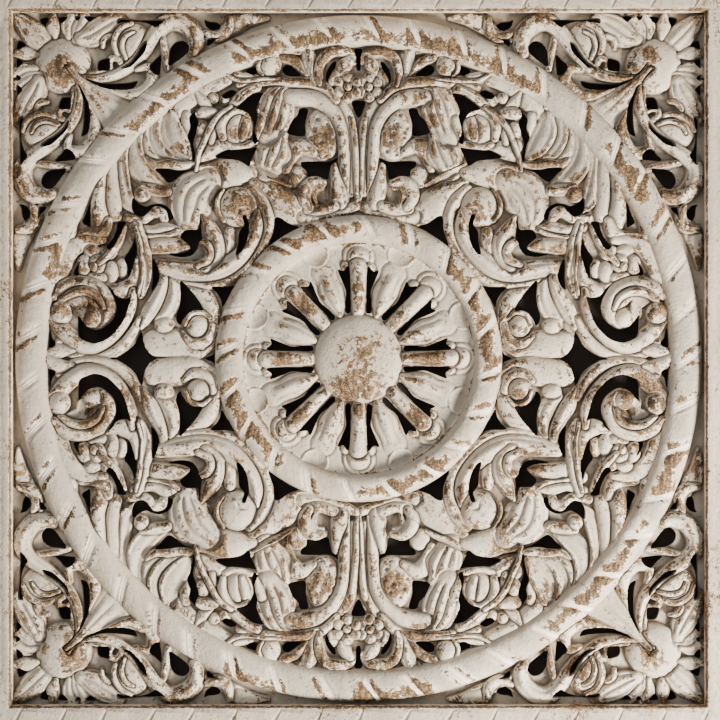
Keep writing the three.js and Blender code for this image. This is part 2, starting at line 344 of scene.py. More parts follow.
ACANTHUS: tuple[Motif, ...] = (
    Stroke(((172, 242), (172, 229), (171, 218)), (5, 7, 6), (13.5,)),
    Stroke(((272, 178), (281, 160), (289, 140), (296, 118)), (3, 5, 7, 8), (12.5,), section=Section.FLAT),
    Stroke(((209, 238), (213, 221), (209, 207), (197, 197)), (7, 9, 9, 7), (14.5, 15.5, 14.5),
           section=Section.BANK, flutes=2, flute_depth=0.6),
    Stroke(((199, 241), (201, 223), (193, 209), (180, 200)), (7, 9, 10, 7), (15, 16, 14.5),
           section=Section.BANK, flutes=2, flute_depth=0.6),
    Stroke(((188, 239), (186, 225), (178, 211), (171, 201)), (8, 12, 11, 6), (15.5, 16.5, 14.5),
           section=Section.BANK, flutes=2, flute_depth=0.6),
    Stroke(((165, 194), (177, 192), (190, 194), (201, 193), (213, 199)), (3, 4.5, 4.5, 4.5, 3), (14.5,)),
    Stroke(((220, 236), (225, 213), (221, 193), (208, 178), (192, 168)), (8, 10, 11, 10, 5),
           (14.5, 16, 15), section=Section.BANK, flutes=2, flute_depth=0.7),
    Stroke(((190, 167), (203, 169), (215, 171)), (5, 6, 4), (15,), flutes=2, flute_depth=0.7),
    Knob((216, 163), (8, 8), 16),
    Stroke(((234, 220), (239, 197), (236, 176), (231, 158), (222, 147)), (7, 9, 9, 8, 4),
           (14.5, 16, 15), section=Section.BANK, flutes=2, flute_depth=0.7),
    Stroke(((246, 206), (246, 186), (246, 165), (243, 143)), (6, 7.5, 8.5, 8), (13.5, 14, 14)),
    Stroke(((253, 196), (258, 174), (259, 155), (257, 141), (255, 132)), (4, 7, 8, 9, 8), (16, 17.5, 17)),
    Stroke(((284, 139), (287, 125), (284, 111)), (5, 7.5, 6), (14.5,)),
    Stroke(((249, 137), (253, 126), (262, 121), (275, 121)), (5, 7, 7, 6), (15, 16, 15)),
)

HOOK_LEAF: tuple[Motif, ...] = (
    Stroke(((196, 126), (208, 122), (222, 119)), (8, 9, 6), (13,), groove=0.6),
    Stroke(((230, 140), (217, 137), (209, 141), (204, 146), (196, 145), (193, 137)),
           (4, 5, 5, 6, 6, 4), (15, 16, 15)),
    Stroke(((224, 131), (206, 127), (192, 130), (179, 129)), (4, 6, 7, 4),
            (14.5,), flutes=2, flute_depth=0.7),
    Stroke(((216, 121), (200, 121), (188, 124), (179, 129)), (2, 3, 3, 2), (15.5,)),
    Stroke(((213, 110), (196, 113), (181, 113), (169, 111)), (7, 8.5, 7, 2), (14.5, 15, 13)),
)

CREST: tuple[Motif, ...] = (
    Stroke(((106, 184), (124, 184), (142, 183), (159, 188)), (6, 14, 14, 5), (14, 15.5, 15), groove=0.9),
    Stroke(((148, 177), (163, 165), (169, 150), (171, 134)), (13, 22, 21, 11), (15, 16.5, 15),
           flutes=4, flute_depth=1.2),
)

MIDDLE_SCROLL: tuple[Motif, ...] = (
    Stroke(((128, 127), (130, 113), (135, 100), (144, 89)), (5, 7.5, 8, 7), (13.5, 14.5, 14), flutes=2,
           flute_depth=0.7),
    Stroke(((186, 83), (170, 77), (150, 74), (131, 78), (113, 90), (99, 106), (91, 124), (90, 141), (96, 156),
            (108, 166)),
           (3, 5, 5, 5, 6, 6, 6, 6, 7, 7), (14.5, 15), flutes=2, flute_depth=0.8),
    Stroke(((198, 92), (176, 88), (154, 86), (135, 90), (119, 101), (107, 116), (102, 131), (104, 145)),
           (7, 10, 11, 11, 9.5, 8.5, 7.5, 6), (14, 16.5, 17.5, 17), flutes=2, flute_depth=0.8),
    Knob((121, 151), (20, 20), 17.5),
    Stroke(((134, 168), (140, 158), (140, 146), (134, 137)), (1.5, 2.5, 2.5, 1.5), (17,), groove=0.8),
    Stroke(((108, 149), (117, 149), (120, 143)), (1, 2, 1), (15.8,), edge=16.6, groove=0.0),
    Stroke(((155, 142), (148, 130), (142, 116), (142, 103), (152, 91)), (2, 7, 9, 9, 7), (14.5, 16.5, 15.5),
           flutes=2, flute_depth=0.9),
    Stroke(((157, 117), (150, 113), (147, 106), (150, 98), (160, 93)), (3, 5, 5, 5, 4), (16, 16.5, 15.5)),
)

SMALL_SCROLL: tuple[Motif, ...] = (
    Stroke(((148, 16), (165, 11), (184, 14), (203, 15)), (8, 13, 15, 13), (13, 13.5, 13.5)),
    Stroke(((185, 82), (184, 63), (189, 49), (198, 38)), (4, 7.5, 9, 6), (14.5,), flutes=2, flute_depth=0.9),
    Stroke(((194, 96), (194, 76), (201, 59), (209, 45), (216, 31)), (3, 5, 7.5, 8, 3), (15.5, 16.5, 15),
           flutes=2, flute_depth=0.9),
    Knob((193, 33), (10, 8), 14.5),
    Stroke(((187, 86), (171, 75), (158, 65), (149, 52), (146, 38), (148, 24), (156, 13)),
           (3, 6.5, 8.5, 9, 8.5, 8, 5), (14.5, 15.5, 16)),
    Stroke(((146, 32), (151, 19), (163, 15), (173, 22)), (5, 6, 6, 3), (15, 15.5, 15)),
    Knob((160, 32), (11.5, 12.5), 18),
    Stroke(((148, 40), (156, 46), (167, 43), (172, 33)), (2, 3, 3, 2), (17,), groove=0.6),
)

RIB_STEM: tuple[Motif, ...] = (
    Stroke(((220, 134), (214, 115), (212, 96), (213, 78), (217, 62)), (5, 6, 6.5, 6, 3), (15,)),
    Stroke(((222, 132), (218, 115), (216, 96), (217, 78), (219, 64)), (2, 3, 3, 3, 2), (16.5,), groove=0.8),
    Stroke(((214, 104), (210.5, 90), (211, 76), (214, 64)), (1.5, 2.5, 2.5, 1.5),
            (12.5,), edge=14.5, groove=0.2),
)

BLOSSOM: tuple[Motif, ...] = (
    Stroke(((254, 117), (270, 116), (284, 109), (294, 97), (299, 80)), (4, 7, 9, 10, 9), (13.5, 14),
           section=Section.FLAT),
    Stroke(((221, 98), (223, 81), (231, 70), (242, 68), (251, 77)), (3, 6, 9, 8, 4), (14.5, 15.5, 15)),
    Knob((236, 89), (7, 10), 13.5),
    Knob((246, 86), (8, 12), 14.5),
    Knob((250, 105), (10, 8), 14.5),
    Knob((265, 106), (9, 8), 14.5),
    Knob((273, 93), (8, 11), 14.5),
    Knob((260, 80), (11, 7), 14.5),
    Knob((260, 94), (9, 10), 15.5),
    Stroke(((233, 130), (240, 115), (249, 103), (258, 94)), (3, 4, 4, 3), (15.5, 16.5, 16.5), flutes=2,
           flute_depth=0.6),
    Knob((263, 91), (4, 5), 16.5),
)

LARGE_SCROLL: tuple[Motif, ...] = (
    Stroke(((218, 40), (225, 25), (238, 11), (253, 4), (271, 3), (286, 7), (297, 15)), (3, 5, 6, 6, 6, 6, 5),
           (14.5,)),
    Stroke(((225, 68), (227, 51), (234, 37), (245, 23), (260, 14), (276, 14), (290, 24), (302, 38)),
           (4, 6, 7.5, 8, 8.5, 9, 9, 7), (16, 17.5, 17.5, 16)),
    Stroke(((303, 63), (288, 71), (270, 70), (257, 61), (253, 48), (260, 39)), (6, 10, 12, 13, 11, 9),
           (15.5, 16.5, 16)),
    Knob((265, 41), (11, 10), 16.5, groove=0.8),
    Stroke(((277, 43), (276, 53), (284, 58), (296, 60)), (4, 6, 6, 3), (11.5,), edge=12.5, groove=0.4),
    Stroke(((254, 50), (260, 61), (272, 67), (285, 65), (297, 57)), (3, 4.5, 5, 4.5, 3), (17.5, 18.5, 17.5)),
    Knob((297, 45), (11, 12), 17),
    Stroke(((284, 7), (298, 7), (313, -1)), (3, 8, 4), (14, 14.5, 13.5), groove=0.8),
)

FRETWORK: tuple[Motif, ...] = (
    SEED_POD + BUD_SCROLL + RING_STEM + COMMA_LEAF + FLUTED_LEAF + LYRE + PALMETTE + BOWL + CREST + TULIP
    + HOOK_LEAF + ACANTHUS + SMALL_SCROLL + RIB_STEM + MIDDLE_SCROLL + BLOSSOM + LARGE_SCROLL
)

# The drawing of one corner, on one side of its diagonal. Each item repeats across the diagonal.

CORNER_SIDES: tuple[Motif, ...] = (
    Stroke(((152, 317), (140, 322), (124, 331), (108, 339)), (3, 6, 8, 7),
            (13, 14, 13), flutes=2, flute_depth=0.6),
    Stroke(((120, 336), (105, 338), (90, 339)), (8, 6, 2), (12.5,)),
    Stroke(((128, 338), (130, 327), (139, 320), (153, 324)), (4, 6, 6, 3), (15,)),
    Stroke(((189, 288), (192, 302), (195, 320)), (3, 3.5, 3), (14,)),
    Stroke(((278, 276), (258, 268), (236, 262), (216, 265), (205, 276), (209, 289), (222, 288)),
           (3, 4.5, 6, 7, 7, 5, 3), (15, 15.5, 15.5), groove=0.9),
    Stroke(((288, 321), (288, 331), (285, 342)), (4, 8, 6), (12.5,), flutes=2, flute_depth=0.6),
    Stroke(((302, 320), (304, 331), (304, 343)), (3, 7, 3), (12.5,)),
    Stroke(((281, 317), (277, 327), (272, 340)), (5, 9, 6), (13,), flutes=2, flute_depth=0.6),
    Stroke(((276, 318), (266, 322), (254, 329), (240, 337)), (7, 12, 13, 9), (14, 15.5, 14),
           flutes=3, flute_depth=1.2),
    Stroke(((243, 320), (248, 321), (254, 317), (255, 310)), (2, 3, 3, 2), (14.5,)),
    Knob((226, 314), (19, 21), 16.0),
    Stroke(((226, 334), (237, 328), (243, 315), (240, 300)), (2.5, 3.5, 3.5, 2.5), (16.5,), groove=0.8),
    Stroke(((224, 325), (232, 320), (235, 310), (232, 298)), (2, 3, 3, 2), (17,), groove=0.8),
    Stroke(((236, 291), (240, 298), (246, 298), (248, 292), (246, 286), (254, 284), (268, 283)),
           (3, 3.5, 3.5, 3, 3, 4, 3), (15,)),
    Stroke(((292, 288), (278, 280), (263, 278.5), (246, 281), (234, 287), (222, 297), (211, 311),
            (200, 326), (189, 335),
            (176, 334), (164, 325), (161, 313), (163, 304)),
           (2.5, 3.5, 4, 5, 5.5, 6, 7, 8, 9, 9.5, 9, 8, 6), (19, 16, 15.5, 16.5, 17, 17), flutes=2,
           flute_depth=0.6),
)

CORNER_MIDDLE: tuple[Motif, ...] = (
    Stroke(((306, 306), (322, 322), (342, 342)), (8, 13, 5), (13.5, 14.5, 12.5), flutes=3, flute_depth=0.8),
    Knob((294, 291), (28, 28), 18.5, edge=11),
)

CORNER_TRUMPET: tuple[Motif, ...] = (
    Stroke(((290, 289), (279, 278), (268, 267), (256, 255), (240, 240)), (2.5, 4.5, 8, 13, 20),
           (19.5, 17, 15.5, 14.5, 13), flutes=3, flute_depth=0.7, groove=1.8),
)

ROSETTE_SPOKES: tuple[Motif, ...] = (
    Stroke(((42, 0), (66, 0), (92, 0)), (6, 7.5, 9), (15.5, 16, 15.5), edge=9.5),
)

ROSETTE_HEADS: tuple[Motif, ...] = (
    Stroke(((101, -0.5), (101, 0.5)), (15.5, 15.5), (11.2,), edge=9.5, section=Section.FLAT, groove=0.8),
    Knob((91, 12), (5.5, 5), 12.5, edge=9.5),
    Knob((91, -12), (5.5, 5), 12.5, edge=9.5),
    Stroke(((101, -0.5), (101, 0.5)), (10.5, 10.5), (14.5,), edge=10.5, groove=1.0),
)

ROSETTE_PETALS: tuple[Motif, ...] = (
    Stroke(((46, 0), (58, 0), (70, 0), (82, 0), (92, 0)), (3, 9, 12.5, 11, 13), (12.5, 15, 15, 13.5, 11),
           edge=9.0, groove=0.5, flutes=2, flute_depth=0.8),
    Stroke(((112, -0.5), (112, 0.5)), (13, 13), (8.2,), edge=10.6, groove=0.5),
)

FRET_OPENINGS: tuple[tuple[Point, ...], ...] = (
    ((22, 296), (26, 295), (31, 288), (33, 281), (31, 274), (29, 280), (24, 288)),
    ((57, 283), (63, 289), (70, 293.5), (75, 292), (76, 287), (73, 283.5), (66, 281.5)),
    ((55, 306), (61, 308.5), (70, 308.5), (63, 304.5)),
    ((94, 265), (104, 264), (113, 258), (122, 249), (112, 245), (106, 238), (104, 230), (106, 222),
     (104, 213), (100, 216), (103, 226), (100, 240), (101, 248), (97, 258)),
    ((101, 210), (108, 209.5), (118, 208.5), (126, 208), (132, 208), (143, 201), (130, 198.5), (118, 196.5),
     (109, 191), (106, 200)),
    ((121, 265), (127, 268.5), (136, 263), (131, 258)),
    ((101, 283), (102, 290), (105, 293), (110, 291), (112, 286), (106, 282)),
    ((50, 249), (58, 250), (61, 243), (66, 238), (70, 229), (70, 224), (54, 222), (53, 235)),
    ((21, 201), (30, 197), (42, 197), (57, 196), (56, 190), (52, 187), (51, 181), (42, 181.5), (31, 179),
     (29, 186), (27, 193), (22, 196)),
    ((161, 249), (166, 244), (169, 239), (168, 230), (171, 221), (168, 213), (166, 203), (165, 193),
     (163, 203), (165, 214), (162, 224), (159, 234), (162, 242)),
    ((163, 190), (172, 188.5), (182, 188.5), (190, 190), (203, 190), (198, 184), (190, 176), (184, 178),
     (175, 185)),
    ((184, 141), (188, 150), (197, 155), (206, 154), (212, 152), (219, 155), (225, 160), (226, 150),
     (222, 143), (214, 141), (208, 146), (203, 151.5), (196, 151), (191, 147), (189, 139)),
    ((261, 177), (265, 168), (269, 155), (273, 143), (276, 136), (271, 132), (267.5, 131), (267, 143),
     (265.5, 156), (262, 168)),
    ((112, 143), (116, 142), (114, 134), (119, 127), (120, 116), (122, 104), (118, 104), (113, 111),
     (110, 120), (109, 132)),
    ((158, 142), (160, 130), (168, 129), (174, 128), (178, 122), (172, 116), (168, 111), (172, 107.5),
     (180, 105.5), (190, 104.5), (178, 101.5), (167, 103), (161, 109), (159, 115), (156, 119), (157, 130)),
    ((60, 131), (70, 135), (79, 141), (84, 140), (85, 128), (90, 112), (80, 118), (70, 125)),
    ((121, 73), (132, 71.5), (147, 71), (142, 65), (138, 58), (136, 51), (130, 61)),
    ((155, 48), (160, 58), (168, 68), (178, 77.5), (178, 62), (179, 52), (182, 43), (181, 36), (177, 33),
     (175, 38), (170, 44), (163, 47.5)),
    ((206, 99), (202, 96), (199, 88), (199, 79), (203, 71), (207, 68), (206, 80)),
    ((223, 121), (226, 113), (230, 106), (234, 100), (231, 92), (231, 84), (230, 79), (226, 86), (222.5, 97),
     (221, 108)),
    ((232, 136), (240, 136), (242, 128), (246, 119), (252, 112), (248, 108), (243, 111), (238, 120),
     (234, 128)),
    ((276, 97), (280, 94), (284, 88), (284, 83), (279, 83), (279, 89)),
    ((226, 62), (229, 50), (233, 38), (240, 28), (250, 19), (262, 15.5), (272, 18), (279, 23), (280, 38),
     (279, 43), (274, 37), (268, 31), (260, 29), (252, 33), (245, 40), (242, 50), (244, 60), (250, 72),
     (245, 69), (240, 62), (232, 60)),
    ((301, 14), (305, 20), (307, 29), (310, 27), (311, 12), (305, 11)),
    ((299, 75), (302, 71), (307, 60), (303, 65)),
    ((203, -1), (208, 5), (213, 13), (216, 26), (219, 24), (224, 14), (232, 7), (242, 1), (246, -1)),
    ((142, 8), (147, 2), (153, 0), (147, -3), (142, -4)),
    ((-7, 256), (-4, 246), (0, 240), (4, 246), (7, 256), (0, 258)),
    ((-4, 308), (-2.5, 300), (-2, 288), (2, 288), (2.5, 300), (4, 308), (0, 311)),
)

CORNER_OPENINGS: tuple[tuple[Point, ...], ...] = (
    ((221, 277), (230, 275.5), (245, 274.5), (258, 275), (274, 279.5), (262, 272.5), (250, 268), (236, 267.5),
     (225, 270)),
    ((169, 307), (169, 312), (175, 317), (183, 315), (188, 308), (189, 300), (189, 291), (181, 296),
     (173, 302)),
    ((197, 303), (203, 298), (209, 292), (205, 284), (199, 282), (197, 290)),
    ((210, 316), (216, 313), (222, 303), (228, 295.5), (237, 288.5), (228, 289.5), (219, 297.5), (212, 306)),
    ((248, 299), (253, 299.5), (260, 296), (260, 287), (254, 286), (248, 287), (247, 292)),
    ((137, 332), (142, 335.5), (150, 336.5), (154, 338), (152, 331), (146, 327), (140, 327)),
    ((192, 337), (205, 338), (220, 338), (238, 339), (240, 333), (230, 336), (217, 336), (207, 333),
     (201, 329)),
    ((262, 341), (267, 335), (273, 341)),
    ((276, 341), (279, 336), (283, 341)),
    ((289, 341), (295, 334), (300, 341)),
    ((308, 341), (312, 331), (318, 339)),
    ((138, 318), (144, 315.5), (150, 311), (151, 317), (146, 319)),
)

SPOKES = 8
BOSS = Knob((0.0, 0.0), (44.0, 44.0), 19.0, edge=12.0)

# The rosette's ground reaches this far out, and turns up at its rim as a shallow dish.
ROSETTE_REACH = 116.0
DISH_START = 108.0
DISH_WIDTH = 7.0
DISH_END = 120.0
DISH_RISE = 2.0

ROSETTE_SLOT: tuple[Point, ...] = (
    (46, 8), (46, 13), (55, 13.5), (66, 12.5), (76, 16), (88, 20.5), (87, 15), (92, 9.5), (75, 8), (60, 8),
)


class Relief:
    """The height of the carving over a square grid on the plan of the board."""

    WOBBLE = 0.7
    WOBBLE_WAVES = 17
    ROUGHNESS = 0.5
    ROUGH_WAVES = 60
    HAND_SHIFT = 0.5
    HAND_LIFT = 0.35
    FLUTING = 1.5
    FLUTE_FADE = 0.12
    THINNEST = 0.4
    MARGIN = 4.0
    GROOVE_REACH = 2.2
    GROOVE_FLOOR = 5.0
    EDGE_WIDTH = 1.6
    SOLID = 50.0

    def __init__(self, step: float) -> None:
        """Start a flat board.

        Args:
            step: The distance between two places of the grid, in the drawing's steps.
        """
        self.step = step
        self.count = round(2.0 * BOARD_HALF / step) + 1
        axis = np.linspace(-BOARD_HALF, BOARD_HALF, self.count)
        self.x, self.z = np.meshgrid(axis, axis)
        self.bent_x = self.x + self.WOBBLE * soft_noise(self.count, self.WOBBLE_WAVES, SEED)
        self.bent_z = self.z + self.WOBBLE * soft_noise(self.count, self.WOBBLE_WAVES, SEED + 1)
        self.height = GROUND + self.ROUGHNESS * soft_noise(self.count, self.ROUGH_WAVES, SEED + 2)
        self.gap = np.full(self.x.shape, self.SOLID)
        self.random = np.random.default_rng(SEED)

    def window(self, points: np.ndarray, margin: float) -> tuple[slice, slice]:
        """Give the part of the grid round some points, rows first."""
        low = np.floor((points.min(axis=0) - margin + BOARD_HALF) / self.step).astype(int)
        high = np.ceil((points.max(axis=0) + margin + BOARD_HALF) / self.step).astype(int) + 1
        low = np.clip(low, 0, self.count)
        high = np.clip(high, 0, self.count)
        return slice(low[1], high[1]), slice(low[0], high[0])

    def lay(self, motif: Motif) -> None:
        """Carve one motif over what is already there."""
        if isinstance(motif, Stroke):
            self.lay_stroke(motif)
        else:
            self.lay_knob(motif)

    def lay_stroke(self, stroke: Stroke) -> None:
        """Carve one stroke.

        Args:
            stroke: The stroke, with its line on the plan.
        """
        knots = np.asarray(stroke.line, dtype=float)
        knots = knots + self.random.uniform(-self.HAND_SHIFT, self.HAND_SHIFT, knots.shape)
        places = np.linspace(0.0, 1.0, len(knots))
        half = np.interp(places, np.linspace(0.0, 1.0, len(stroke.half)), stroke.half)
        crest = np.interp(places, np.linspace(0.0, 1.0, len(stroke.crest)), stroke.crest)
        crest = crest + self.random.uniform(-self.HAND_LIFT, self.HAND_LIFT)
        line = smooth_line(np.column_stack([knots, half, crest]), False, 6)
        rows, columns = self.window(line[:, :2], float(line[:, 2].max()) + self.MARGIN)
        x = self.bent_x[rows, columns]
        z = self.bent_z[rows, columns]
        best = np.full(x.shape, FAR)
        width = np.ones(x.shape)
        top = np.zeros(x.shape)
        side = np.ones(x.shape)
        along = np.zeros(x.shape)
        for index in range(len(line) - 1):
            start, end = line[index], line[index + 1]
            dx, dz = end[0] - start[0], end[1] - start[1]
            part = ((x - start[0]) * dx + (z - start[1]) * dz) / (dx * dx + dz * dz + TINY)
            part = np.clip(part, 0.0, 1.0)
            off_x = x - start[0] - part * dx
            off_z = z - start[1] - part * dz
            distance = off_x * off_x + off_z * off_z
            nearer = distance < best
            best = np.where(nearer, distance, best)
            width = np.where(nearer, start[2] + part * (end[2] - start[2]), width)
            top = np.where(nearer, start[3] + part * (end[3] - start[3]), top)
            side = np.where(nearer, np.sign(dx * off_z - dz * off_x), side)
            along = np.where(nearer, (index + part) / (len(line) - 1), along)
        distance = np.sqrt(best)
        width = np.maximum(width, self.THINNEST)
        across = distance / width
        edge = stroke.edge - UNDERCUT * (top - stroke.edge)
        height = edge + (top - edge) * section_height(stroke.section, across * side)
        if stroke.flutes:
            fade = np.clip(np.minimum(along, 1.0 - along) / self.FLUTE_FADE, 0.0, 1.0)
            fade = fade * np.clip(1.0 - across**4, 0.0, 1.0)
            wave = np.abs(np.cos(math.pi * stroke.flutes * (across * side + 1.0) / 2.0))
            depth = self.FLUTING * stroke.flute_depth
            height = height - depth * fade * (1.0 - wave**0.8) * np.clip(width / 6.0, 0.5, 1.3)
        self.blend(rows, columns, height, distance - width, stroke.groove)

    def lay_knob(self, knob: Knob) -> None:
        """Carve one boss.

        Args:
            knob: The boss, with its place on the plan.
        """
        centre = np.asarray(knob.centre) + self.random.uniform(-self.HAND_SHIFT, self.HAND_SHIFT, 2)
        reach = max(knob.radii)
        rows, columns = self.window(centre[None, :], reach + self.MARGIN)
        dx = self.bent_x[rows, columns] - centre[0]
        dz = self.bent_z[rows, columns] - centre[1]
        across = np.sqrt((dx / knob.radii[0]) ** 2 + (dz / knob.radii[1]) ** 2)
        edge = knob.edge - UNDERCUT * (knob.top - knob.edge)
        height = edge + (knob.top - edge) * section_height(knob.section, across)
        if knob.dots:
            pits = np.cos(dx * 0.42 + dz * 0.2) * np.cos(dz * 0.40 - dx * 0.14)
            height = height - knob.dots * 2.2 * np.clip(2.0 * pits - 0.8, 0.0, 1.0) * (across < 0.85)
        self.blend(rows, columns, height, (across - 1.0) * min(knob.radii), knob.groove)

    def blend(
        self, rows: slice, columns: slice, height: np.ndarray, outside: np.ndarray, groove: float,
    ) -> None:
        """Set a motif's height into the board, with a cut round its outline.

        Args:
            rows: The rows of the window.
            columns: The columns of the window.
            height: The motif's own height.
            outside: The distance outside the motif's outline, negative within it.
            groove: The depth of the cut round the motif.
        """
        before = self.height[rows, columns]
        ring = np.clip(1.0 - np.abs(outside) / self.GROOVE_REACH, 0.0, 1.0)
        around = np.maximum(before - groove * ring, np.minimum(before, self.GROOVE_FLOOR))
        share = np.clip(0.5 - outside / self.EDGE_WIDTH, 0.0, 1.0)
        self.height[rows, columns] = around + (height - around) * share

    def carve(
        self, motifs: Sequence[Motif], outlines: Sequence[Sequence[Point]],
        places: Sequence[Callable[[Point], Point]],
    ) -> None:
        """Lay a drawing's motifs and saw its openings at each of its places.

        Args:
            motifs: The motifs, in the order in which they are laid.
            outlines: The outlines of the openings.
            places: A function for each copy, which moves a point of the drawing there.
        """
        for place in places:
            for motif in motifs:
                self.lay(motif.moved(place))
            for outline in outlines:
                self.saw([place(point) for point in outline])

    def saw(self, outline: Sequence[Point]) -> None:
        """Saw one opening through the board.

        Args:
            outline: The points that the opening's smooth edge passes through.
        """
        line = smooth_line(outline, True, 5)
        rows, columns = self.window(line, 6.0)
        x = self.bent_x[rows, columns]
        z = self.bent_z[rows, columns]
        nearest = np.full(x.shape, FAR)
        inside = np.zeros(x.shape, dtype=bool)
        for start, end in zip(line, np.roll(line, -1, axis=0)):
            dx, dz = end - start
            part = ((x - start[0]) * dx + (z - start[1]) * dz) / (dx * dx + dz * dz + TINY)
            part = np.clip(part, 0.0, 1.0)
            nearest = np.minimum(nearest, (x - start[0] - part * dx) ** 2 + (z - start[1] - part * dz) ** 2)
            crosses = (start[1] > z) != (end[1] > z)
            inside ^= crosses & (x < start[0] + (z - start[1]) * dx / (dz if abs(dz) > TINY else TINY))
        distance = np.sqrt(nearest) * np.where(inside, -1.0, 1.0)
        self.gap[rows, columns] = np.minimum(self.gap[rows, columns], distance)

    def sample(self, values: np.ndarray, x: np.ndarray, z: np.ndarray) -> np.ndarray:
        """Read a field of the grid at places given in metres."""
        column = np.clip((x / GRID + BOARD_HALF) / self.step, 0.0, self.count - 1.001)
        row = np.clip((z / GRID + BOARD_HALF) / self.step, 0.0, self.count - 1.001)
        left = column.astype(int)
        low = row.astype(int)
        right_share = column - left
        high_share = row - low
        bottom = values[low, left] * (1.0 - right_share) + values[low, left + 1] * right_share
        top = values[low + 1, left] * (1.0 - right_share) + values[low + 1, left + 1] * right_share
        return bottom * (1.0 - high_share) + top * high_share


def turned_place(angle: float) -> Callable[[Point], Point]:
    """Give a function that turns a point about the board's centre, in degrees."""
    cosine = math.cos(math.radians(angle))
    sine = math.sin(math.radians(angle))
    return lambda p: (p[0] * cosine - p[1] * sine, p[0] * sine + p[1] * cosine)


def carve_board(step: float) -> Relief:
    """Carve the whole board but for its two rope rings.

    Args:
        step: The distance between two places of the grid, in the drawing's steps.

    Returns:
        The finished relief.
    """
    relief = Relief(step)
    radius = np.hypot(relief.x, relief.z)
    rosette_ground = ROSETTE_GROUND + 0.2 * soft_noise(relief.count, 90, SEED + 3)
    relief.height = np.where(radius < ROSETTE_REACH, rosette_ground, relief.height)
    quarters = mirrored_places(False)
    relief.carve(FRETWORK, FRET_OPENINGS, quarters)
    relief.carve(CORNER_MIDDLE, (), quarters)
    relief.carve(CORNER_SIDES, CORNER_OPENINGS, mirrored_places(True))
    relief.carve(CORNER_TRUMPET, (), quarters)
    spacing = 360.0 / SPOKES
    spokes = [turned_place(spacing * turn) for turn in range(SPOKES)]
    between = [turned_place(0.5 * spacing + spacing * turn) for turn in range(SPOKES)]
    relief.carve(ROSETTE_PETALS, (), between)
    relief.carve(ROSETTE_HEADS, (), spokes)
    relief.carve(ROSETTE_SPOKES, (), spokes)
    relief.carve((), (ROSETTE_SLOT, tuple((x, -z) for x, z in ROSETTE_SLOT)), spokes)
    relief.lay(BOSS)
    rise = np.clip((radius - DISH_START) / DISH_WIDTH, 0.0, 1.0) * (radius < DISH_END)
    relief.height = relief.height + DISH_RISE * rise * rise
    covered = np.maximum(np.abs(relief.x), np.abs(relief.z)) > SIGHT - 1.0
    relief.height = np.where(covered, np.minimum(relief.height, BOARD_DEPTH - 0.4), relief.height)
    return relief


@dataclass(frozen=True)
class Whitewash:
    """A worn chalky paint over brown wood, by its colours and the amounts of wear, with painted shade in the
    hollows and a painted highlight on the crests.
    """

    paint_warm: tuple[float, float, float, float] = (0.475, 0.40, 0.307, 1.0)
    paint_cool: tuple[float, float, float, float] = (0.383, 0.335, 0.27, 1.0)
    # The bright paint fills the rope cuts and brush streaks, and also lightens the crests as a painted
    # highlight.
    bright_paint_and_highlight: tuple[float, float, float, float] = (0.93, 0.835, 0.69, 1.0)
    # The dark colour serves random grime mottling, and also the painted shade that darkens the hollows.
    grime_and_shade_colour: tuple[float, float, float, float] = (0.17, 0.14, 0.11, 1.0)
    wood_light: tuple[float, float, float, float] = (0.33, 0.205, 0.10, 1.0)
    wood_dark: tuple[float, float, float, float] = (0.05, 0.033, 0.02, 1.0)
    roughness: float = 0.78
    shine: float = 0.25
    bare_start: float = 0.752
    bare_end: float = 0.785
    tone_scale: float = 9.0
    patch_scale: float = 26.0
    stroke_scale: float = 60.0
    grime_scale: float = 180.0
    chip_scale: float = 210.0
    grain_scale: float = 300.0
    speck_scale: float = 620.0
    stroke_turn: float = 24.0
    wear_share: float = 0.14
    patch_share: float = 0.5
    chip_share: float = 0.5
    speck_share: float = 0.3
    spot_share: float = 0.18
    mottle: float = 0.22
    bump_strength: float = 1.0
    bump_depth: float = 0.0008


